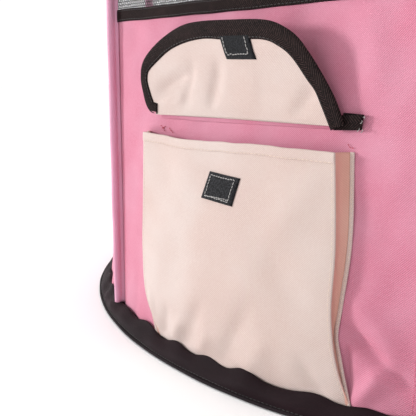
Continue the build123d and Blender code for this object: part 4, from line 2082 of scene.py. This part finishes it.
        # distance across and out from the wall
        fold = (
            (0.1000, 0.0048), (0.1070, 0.0046), (0.1140, 0.0050), (0.1188, 0.0044),
            (0.1200, 0.0028), (0.1180, 0.0013), (0.1120, 0.0010), (0.1040, 0.0010),
        )
        count = 46
        route = Curve(fold).along(count)
        work = Patchwork("flap_binding_tail")
        z = np.linspace(self.hinge[2] + 0.0012, self.hinge[2] + 0.0030, count)
        line = SHAPE.place(Wall.POCKET.value, route[:, 0] + POCKET_SLIDE, z, route[:, 1])
        up = unit(np.array([0.12, 0, 1.0]))
        out = unit(np.cross(up, unit(np.gradient(line, axis=0))))
        sweep_tape(work, line, up, out, tape_section(0.0100, self.tape))
        # distance across, height and distance out of each loose thread
        ends = (
            ((0.1202, 0.2115, 0.003), (0.1218, 0.2120, 0.0045), (0.1226, 0.2110, 0.0052)),
            ((0.1200, 0.2095, 0.004), (0.1215, 0.2088, 0.0062), (0.1210, 0.2076, 0.0070)),
            ((0.1195, 0.2040, 0.002), (0.1210, 0.2030, 0.0040), (0.1206, 0.2016, 0.0050)),
            ((0.1186, 0.2046, 0.004), (0.1196, 0.2036, 0.0060), (0.1188, 0.2026, 0.0066)),
        )
        for end in ends:
            x, height, off = Curve(end).along(9).T
            points = SHAPE.place(Wall.POCKET.value, x + POCKET_SLIDE, height, off)
            outward = SHAPE.directions(Wall.POCKET.value)[1]
            sew(work, points, outward, stitch=0.0012, gap=-0.0003, mark=1)
        settle(work.build(self.finishes.tape, self.finishes.grey_thread), Body.PEN, Slot.TAPE)

    def root_fold(self) -> None:
        """Build the strip of pink cloth that turns from the wall up into the flap."""
        cols, rows = 120, 14
        share = np.linspace(0, 1, rows)[:, None]
        x = np.linspace(self.root[0] + 0.001, self.root[1] + 0.003, cols)[None, :] + 0 * share
        foot, head = np.full((rows, cols), 0.2025), np.full((rows, cols), 0.007)
        wall = SHAPE.place(Wall.POCKET.value, x + POCKET_SLIDE, foot, 0.0004)
        flap = self.at(x, head, -self.cloth - 0.0004)
        low = wall * (1 - share[..., None]) + flap * share[..., None]
        sag = np.sin(math.pi * share)[..., None] * np.array([0, 0.0003, -0.0016])
        work = Patchwork("flap_root_fold")
        flats = np.stack(np.broadcast_arrays(x, share * 0.012), -1)
        work.sheet(low + sag, flats, 0.0007, np.array([0, -1.0, 0.0]))
        piece = work.build(self.finishes.wall)
        y, z = float(self.hinge[1]), float(self.hinge[2])
        start, end = (0.0, y + 0.0012, z - 0.0032), (0.0, y - 0.0012, z + 0.0060)
        span(piece, Body.FLAP, Slot.WALL, start, end, ("flap_seam",))

    def patch(self) -> None:
        """Build the hook patch tucked under the binding."""
        corners = np.array([(0.0085, 0.0450), (0.0388, 0.0444), (0.0346, 0.0620), (0.0042, 0.0625)])
        row = ((0.12, 0.95), (0.12, 0.3), (0.14, 0.22), (0.84, 0.24), (0.86, 0.32), (0.86, 0.95))
        work = lay_patch("hook_patch_tape", corners, self.at, np.array([0, -0.985, -0.174]), row)
        piece = work.build(self.finishes.hook, self.finishes.grey_thread)
        settle(piece, Body.FLAP, Slot.HOOK, ("hook_patch",))

    def build(self) -> None:
        """Build the flap's pieces."""
        self.panel()
        self.binding()
        self.tail()
        self.root_fold()
        self.patch()


# ---- zips


@dataclass(frozen=True)
class Coil:
    """A zip's coil: two rows of teeth that meet at its middle."""

    pitch: float = 0.0022
    tooth: float = 0.0027
    thick: float = 0.0009

    def lay(self, work: Patchwork, line: Array, side: Array, out: Array, mark: int) -> None:
        """Lay one row of teeth.

        Args:
            work: the piece that they join.
            line: the row's middle.
            side: the direction across the zip, one for all points or one for each.
            out: the direction away from its tape, likewise.
            mark: which finish they take.
        """
        gone = travelled(line)
        number = int(gone[-1] / self.pitch)
        marks = (np.arange(number) + 0.5) * gone[-1] / number

        def read(values: Array) -> Array:
            """Values at the teeth's places."""
            values = np.broadcast_to(values, line.shape)
            return np.stack([np.interp(marks, gone, values[:, k]) for k in range(3)], 1)

        y, z = unit(read(side)), unit(read(out))
        x = unit(np.cross(y, z))
        frames = np.stack([y, x, z], axis=1)
        bit = Bit.lozenge(self.tooth, self.pitch * 0.62, self.thick)
        work.scatter(bit, read(line) + z * self.thick * 0.4, frames, mark)


@dataclass
class Roof:
    """Net roof with a zip round it, hinged along the rear."""

    finishes: Finishes
    coil: Coil = Coil()
    tape: float = 0.0009

    def _ring(
        self, work: Patchwork, middle: float, width: float, height: float, thick: float
    ) -> None:
        """Lay a flat tape round the eight sides.

        Args:
            work: the piece that it joins.
            middle: the tape's middle, out from the pen's axis.
            width: across the tape.
            height: its underside.
            thick: its thickness.
        """
        line, side = octagon(middle, 26)
        line[:, 2] = height + 0.00025 * (1 + ripple(line[:, 0], line[:, 1], 0.08, 505))
        sweep_tape(work, line, side, UP, tape_section(width, thick), closed=True)

    def _teeth(self, work: Patchwork, middle: float, height: float) -> None:
        """Lay teeth round every side but the rear.

        Args:
            work: the piece that they join.
            middle: the row's middle, out from the pen's axis.
            height: the teeth's underside.
        """
        for side in range(SIDES):
            if side == Wall.REAR.value:
                continue
            across, outward = SHAPE.directions(side)
            half = middle * math.tan(TURN / 2) - 0.002
            x = np.linspace(-half, half, 40)[:, None]
            line = x * across + middle * outward + height * UP
            self.coil.lay(work, line, outward, UP, 1)

    def net(self) -> None:
        """Build the roof's net, sagging a little."""
        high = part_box("roof_mesh")[1]
        half = high.y
        rings = 60
        rim, _ = octagon(half, 30)
        share = np.linspace(0.004, 1, rings)[:, None, None]
        points = rim[None] * share
        waves = 0.0010 * ripple(points[..., 0], points[..., 1], 0.15, 501)
        sag = -0.0060 * (1 - share[..., 0] ** 2) + waves
        points[..., 2] = high.z - 0.0002 + np.minimum(sag, 0) * ease(1 - share[..., 0], 0, 0.05)
        work = Patchwork("roof_net")
        work.sheet(points, points[..., :2], 0.0004, UP, wrap=True)
        piece = settle(work.build(self.finishes.net), Body.ROOF, Slot.MESH, ("roof_mesh",))

    def zips(self) -> None:
        """Build both halves of the zip, the roof's edge tape and the rear strip."""
        rim_low, rim_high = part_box("rim_zip")
        edge_low, edge_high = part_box("roof_tape")
        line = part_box("roof_zip")[1].y + 0.0002
        base, top = rim_low.z, rim_low.z + 0.0008
        work = Patchwork("rim_zip_half")
        width = rim_high.y - line - 0.0002
        self._ring(work, rim_high.y - width / 2, width, base, 0.0007)
        self._teeth(work, line + 0.0013, top)
        piece = work.build(self.finishes.zip_tape, self.finishes.coil)
        settle(piece, Body.PEN, Slot.ZIP_TAPE, ("rim_zip",))
        work = Patchwork("roof_zip_half")
        width = 0.0128
        self._ring(work, line - 0.0002 - width / 2, width, base, 0.0007)
        self._teeth(work, line - 0.0013, top)
        piece = work.build(self.finishes.zip_tape, self.finishes.coil)
        settle(piece, Body.ROOF, Slot.ZIP_TAPE, ("roof_zip",))
        work = Patchwork("roof_binding")
        width = 0.012
        middle = edge_high.y - width / 2
        self._ring(work, middle, width, edge_low.z, self.tape)
        ring, _ = octagon(middle, 60)
        for shift in (-0.0044, 0.0044):
            row = ring * ((middle + shift) / middle)
            row[:, 2] = edge_low.z + self.tape + 0.0002
            row = np.concatenate([row, row[:1]])
            sew(work, row, UP, thread=0.0005, mark=1)
        piece = work.build(self.finishes.tape, self.finishes.black_thread)
        settle(piece, Body.ROOF, Slot.TAPE, ("roof_tape",))
        self._rear(line, base)

    def _rear(self, line: float, base: float) -> None:
        """Build the cloth strip that hinges the roof along the rear.

        Args:
            line: where the zip's two halves would meet, out from the pen's axis.
            base: the zip's underside.
        """
        across, outward = SHAPE.directions(Wall.REAR.value)
        half = line * math.tan(TURN / 2) - 0.003
        x = np.linspace(-half, half, 90)[None, :, None]
        w = np.linspace(-0.0085, 0.0085, 16)[:, None, None]
        rise = 0.0011 + 0.0005 * np.cos(w / 0.0085 * math.pi / 2)
        points = x * across + (line + w) * outward + (base + rise) * UP
        work = Patchwork("roof_hinge_strip")
        flats = np.stack(np.broadcast_arrays(x[..., 0], w[..., 0]), -1)
        work.sheet(points, flats, 0.0006, UP)
        height = base + 0.0015
        start, end = (0.0, line + 0.0030, height), (0.0, line - 0.0030, height)
        span(work.build(self.finishes.tape), Body.ROOF, Slot.TAPE, start, end)

    def build(self) -> None:
        """Build the roof's pieces and dress its slider."""
        self.net()
        self.zips()
        dress("roof_slider", self.finishes.enamel)
        dress("roof_pull", self.finishes.enamel)


def octagon(apothem: float, per_side: int) -> tuple[Array, Array]:
    """Points round an eight-sided line.

    Args:
        apothem: from the middle to each side.
        per_side: points on each side.

    Returns:
        The points, and at each one the outward direction, longer at the corners.
    """
    points, sides = [], []
    half = apothem * math.tan(TURN / 2)
    for side in range(SIDES):
        across, outward = PenShape.directions(side)
        x = np.linspace(-half, half, per_side, endpoint=False)[:, None]
        points.append(x * across + apothem * outward)
        direction = np.tile(outward, (per_side, 1))
        corner = PenShape.directions(side - 0.5)[1] / math.cos(TURN / 2)
        direction[0] = corner
        sides.append(direction)
    return np.concatenate(points), np.concatenate(sides)


@dataclass
class Door:
    """Cloth door in one wall, zipped round three sides and hinged along its top."""

    finishes: Finishes
    coil: Coil = Coil()
    side: int = Wall.DOOR.value
    cloth: float = 0.0012

    def on_wall(self, places: Array, out: float) -> Array:
        """Points off the door's wall, from distance across and height."""
        return SHAPE.place(self.side, places[..., 0], places[..., 1], out)

    def panel(self) -> None:
        """Build the door's cloth."""
        inset = 0.0030
        edge = DOOR.path(-inset, DOOR.high - 0.0005, 241)
        rows, cols = 90, 90
        heights = np.linspace(0, 1, rows)
        z = DOOR.low + inset + heights * (DOOR.high - 0.0005 - DOOR.low - inset)
        left = edge[: len(edge) // 2]
        half = np.interp(z, left[::-1, 1], -left[::-1, 0])
        s = np.linspace(-1, 1, cols)[None, :]
        x = half[:, None] * s
        z = z[:, None] + 0 * s
        free = ease(1 - np.abs(s), 0, 0.18) * ease(z, DOOR.low, DOOR.low + 0.02)
        free = free * (1 - ease(z, DOOR.high - 0.02, DOOR.high))
        lift = free * (0.0016 * ripple(x, z, 0.09, 601) + 0.0006 * ripple(x, z, 0.03, 603) - 0.0006)
        points = SHAPE.place(self.side, x, z, lift)
        work = Patchwork("door_panel")
        work.sheet(points, np.stack([x, z], -1), self.cloth, SHAPE.directions(self.side)[1])
        piece = settle(work.build(self.finishes.wall), Body.DOOR, Slot.WALL, ("door",))

    def _half(
        self, name: str, middle: float, width: float, top: float, coil_at: float, body: Body, node: str
    ) -> None:
        """Build one half of the zip.

        Args:
            name: the piece's name.
            middle: the tape's middle, outside the meeting line.
            width: across the tape.
            top: where the tape starts and ends.
            coil_at: the teeth's middle, outside the meeting line.
            body: what it rides on.
            node: the frame's node that it stands for.
        """
        work = Patchwork(name)
        count = 300
        outward = SHAPE.directions(self.side)[1]
        edge = DOOR.path(middle, top, count)
        line = self.on_wall(edge, 0.0002)
        beside = DOOR.path(middle + 0.001, top, count)
        side = unit(self.on_wall(beside, 0.0002) - line)
        out = unit(outward + 0.07 * UP)
        sweep_tape(work, line, side, out, tape_section(width, 0.0008))
        coil_line = self.on_wall(DOOR.path(coil_at, min(top, DOOR.high - 0.001), count), 0.0009)
        self.coil.lay(work, coil_line, side, out, 1)
        shift = math.copysign(width / 2 - 0.0018, middle)
        row = self.on_wall(DOOR.path(middle + shift, top, count), 0.0010)
        sew(work, row, out, thread=0.0005, mark=2)
        piece = work.build(self.finishes.zip_tape, self.finishes.coil, self.finishes.black_thread)
        settle(piece, body, Slot.ZIP_TAPE, (node,))

    def zips(self) -> None:
        """Build both halves of the door's zip."""
        width = 0.0126
        middle = width / 2 + 0.0002
        self._half("door_zip_half", -middle, width, DOOR.high - 0.0045, -0.0015, Body.DOOR, "door_zip")
        self._half(
            "wall_zip_half", middle, width, SHAPE.tape_bottom - 0.0004, 0.0015, Body.PEN, "door_zip_wall"
        )

    def hinge(self) -> None:
        """Build the cloth strip that the door swings on."""
        half = DOOR.half_width - 0.014
        x = np.linspace(-half, half, 70)[None, :]
        w = np.linspace(-0.007, 0.007, 16)[:, None]
        z = DOOR.high + w + 0 * x
        rise = 0.0004 + 0.0008 * np.cos(w / 0.007 * math.pi / 2) + 0 * x
        points = SHAPE.place(self.side, x + 0 * w, z, rise)
        work = Patchwork("door_hinge_strip")
        work.sheet(points, np.stack([x + 0 * w, z], -1), 0.0007, SHAPE.directions(self.side)[1])
        middle = float(SHAPE.face(0, DOOR.high))
        start, end = (middle, 0.0, DOOR.high + 0.0030), (middle, 0.0, DOOR.high - 0.0030)
        span(work.build(self.finishes.wall), Body.DOOR, Slot.WALL, start, end)

    def build(self) -> None:
        """Build the door's pieces and dress its slider."""
        self.panel()
        self.zips()
        self.hinge()
        dress("door_slider", self.finishes.enamel)
        dress("door_pull", self.finishes.enamel)


# ---- studio


@dataclass
class Studio:
    """Plain pale floor, soft light and the camera."""

    finishes: Finishes
    camera_at: Point = (0.3474, -0.7714, 0.2354)
    yaw: float = -0.8014
    pitch: float = 0.1945
    roll: float = 0.0008
    lens: float = 56.33
    sky: float = 1.08
    room: float = 0.50
    backdrop: Point = (-0.95, 0.3, 0.0)
    lamps: tuple[tuple[str, Point, Point, float, float], ...] = (
        ("key_lamp", (-4.20, -3.90, 1.00), (0.02, -0.39, 0.18), 1.00, 195.0),
        ("fill_lamp", (0.5, -3.2, 0.7), (0.05, -0.35, 0.12), 1.4, 9.0),
    )
    overhead: float = 1.15

    def floor(self) -> None:
        """Lay the studio floor."""
        work = Patchwork("studio_floor")
        x, y = np.meshgrid(np.linspace(-25, 25, 9), np.linspace(-25, 25, 9))
        points = np.stack([x, y, np.full_like(x, -0.0002)], -1)
        work.sheet(points, points[..., :2], 0.01, UP)
        work.build(self.finishes.floor)

    def lights(self) -> None:
        """Hang the lamps and light the sky."""
        for name, place, aim, size, power in self.lamps:
            lamp = bpy.data.lights.new(name, "AREA")
            lamp.shape = "DISK"
            lamp.size = size
            lamp.energy = power
            holder = bpy.data.objects.new(name, lamp)
            holder.location = place
            facing = Vector(aim) - Vector(place)
            holder.rotation_euler = facing.to_track_quat("-Z", "Y").to_euler()
            bpy.context.scene.collection.objects.link(holder)
        overhead = bpy.data.lights.new("overhead_lamp", "SUN")
        overhead.energy = self.overhead
        overhead.angle = math.radians(35)
        bpy.context.scene.collection.objects.link(bpy.data.objects.new("overhead_lamp", overhead))
        world = bpy.data.worlds.new("studio_sky")
        world.use_nodes = True
        tree = world.node_tree
        back = tree.nodes["Background"]
        back.inputs["Color"].default_value = (1, 1, 1, 1)
        toward = tree.nodes.new("ShaderNodeVectorMath")
        toward.operation = "DOT_PRODUCT"
        toward.inputs[1].default_value = self.backdrop
        tree.links.new(tree.nodes.new("ShaderNodeTexCoord").outputs["Generated"], toward.inputs[0])
        glow = tree.nodes.new("ShaderNodeMapRange")
        glow.inputs[1].default_value, glow.inputs[2].default_value = -0.15, 0.6
        glow.inputs[3].default_value, glow.inputs[4].default_value = self.room, self.sky
        tree.links.new(toward.outputs[1], glow.inputs[0])
        tree.links.new(glow.outputs[0], back.inputs["Strength"])
        bpy.context.scene.world = world
        bpy.context.scene.view_settings.view_transform = "Standard"

    def camera(self) -> None:
        """Stand the camera in front of the pocket."""
        yaw, pitch = self.yaw, self.pitch
        ahead = Vector(
            (math.sin(yaw) * math.cos(pitch), math.cos(yaw) * math.cos(pitch), -math.sin(pitch))
        )
        level = Vector((math.cos(yaw), -math.sin(yaw), 0.0))
        above = level.cross(ahead)
        right = level * math.cos(self.roll) + above * math.sin(self.roll)
        up = above * math.cos(self.roll) - level * math.sin(self.roll)
        lens = bpy.data.cameras.new("camera")
        lens.lens = self.lens
        lens.sensor_width = 36.0
        lens.clip_start = 0.01
        eye = bpy.data.objects.new("camera", lens)
        turn = Matrix((right, up, -ahead)).transposed().to_4x4()
        eye.matrix_world = Matrix.Translation(self.camera_at) @ turn
        bpy.context.scene.collection.objects.link(eye)
        bpy.context.scene.camera = eye

    def build(self) -> None:
        """Set up the studio."""
        self.floor()
        self.lights()
        self.camera()


def main() -> None:
    """Build every sub-assembly in order, logging each piece's face count."""
    logging.basicConfig(level=logging.INFO, format="%(name)s: %(message)s")
    finishes = Finishes()
    Studio(finishes).build()
    Base(finishes, floor_radius=float(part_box("base_floor")[1].x)).build()
    Walls(finishes).build()
    Windows(finishes).build()
    Sleeves(finishes).build()
    Pocket(finishes).build()
    Flap(finishes).build()
    Roof(finishes).build()
    Door(finishes).build()


if __name__ == "__main__":
    main()
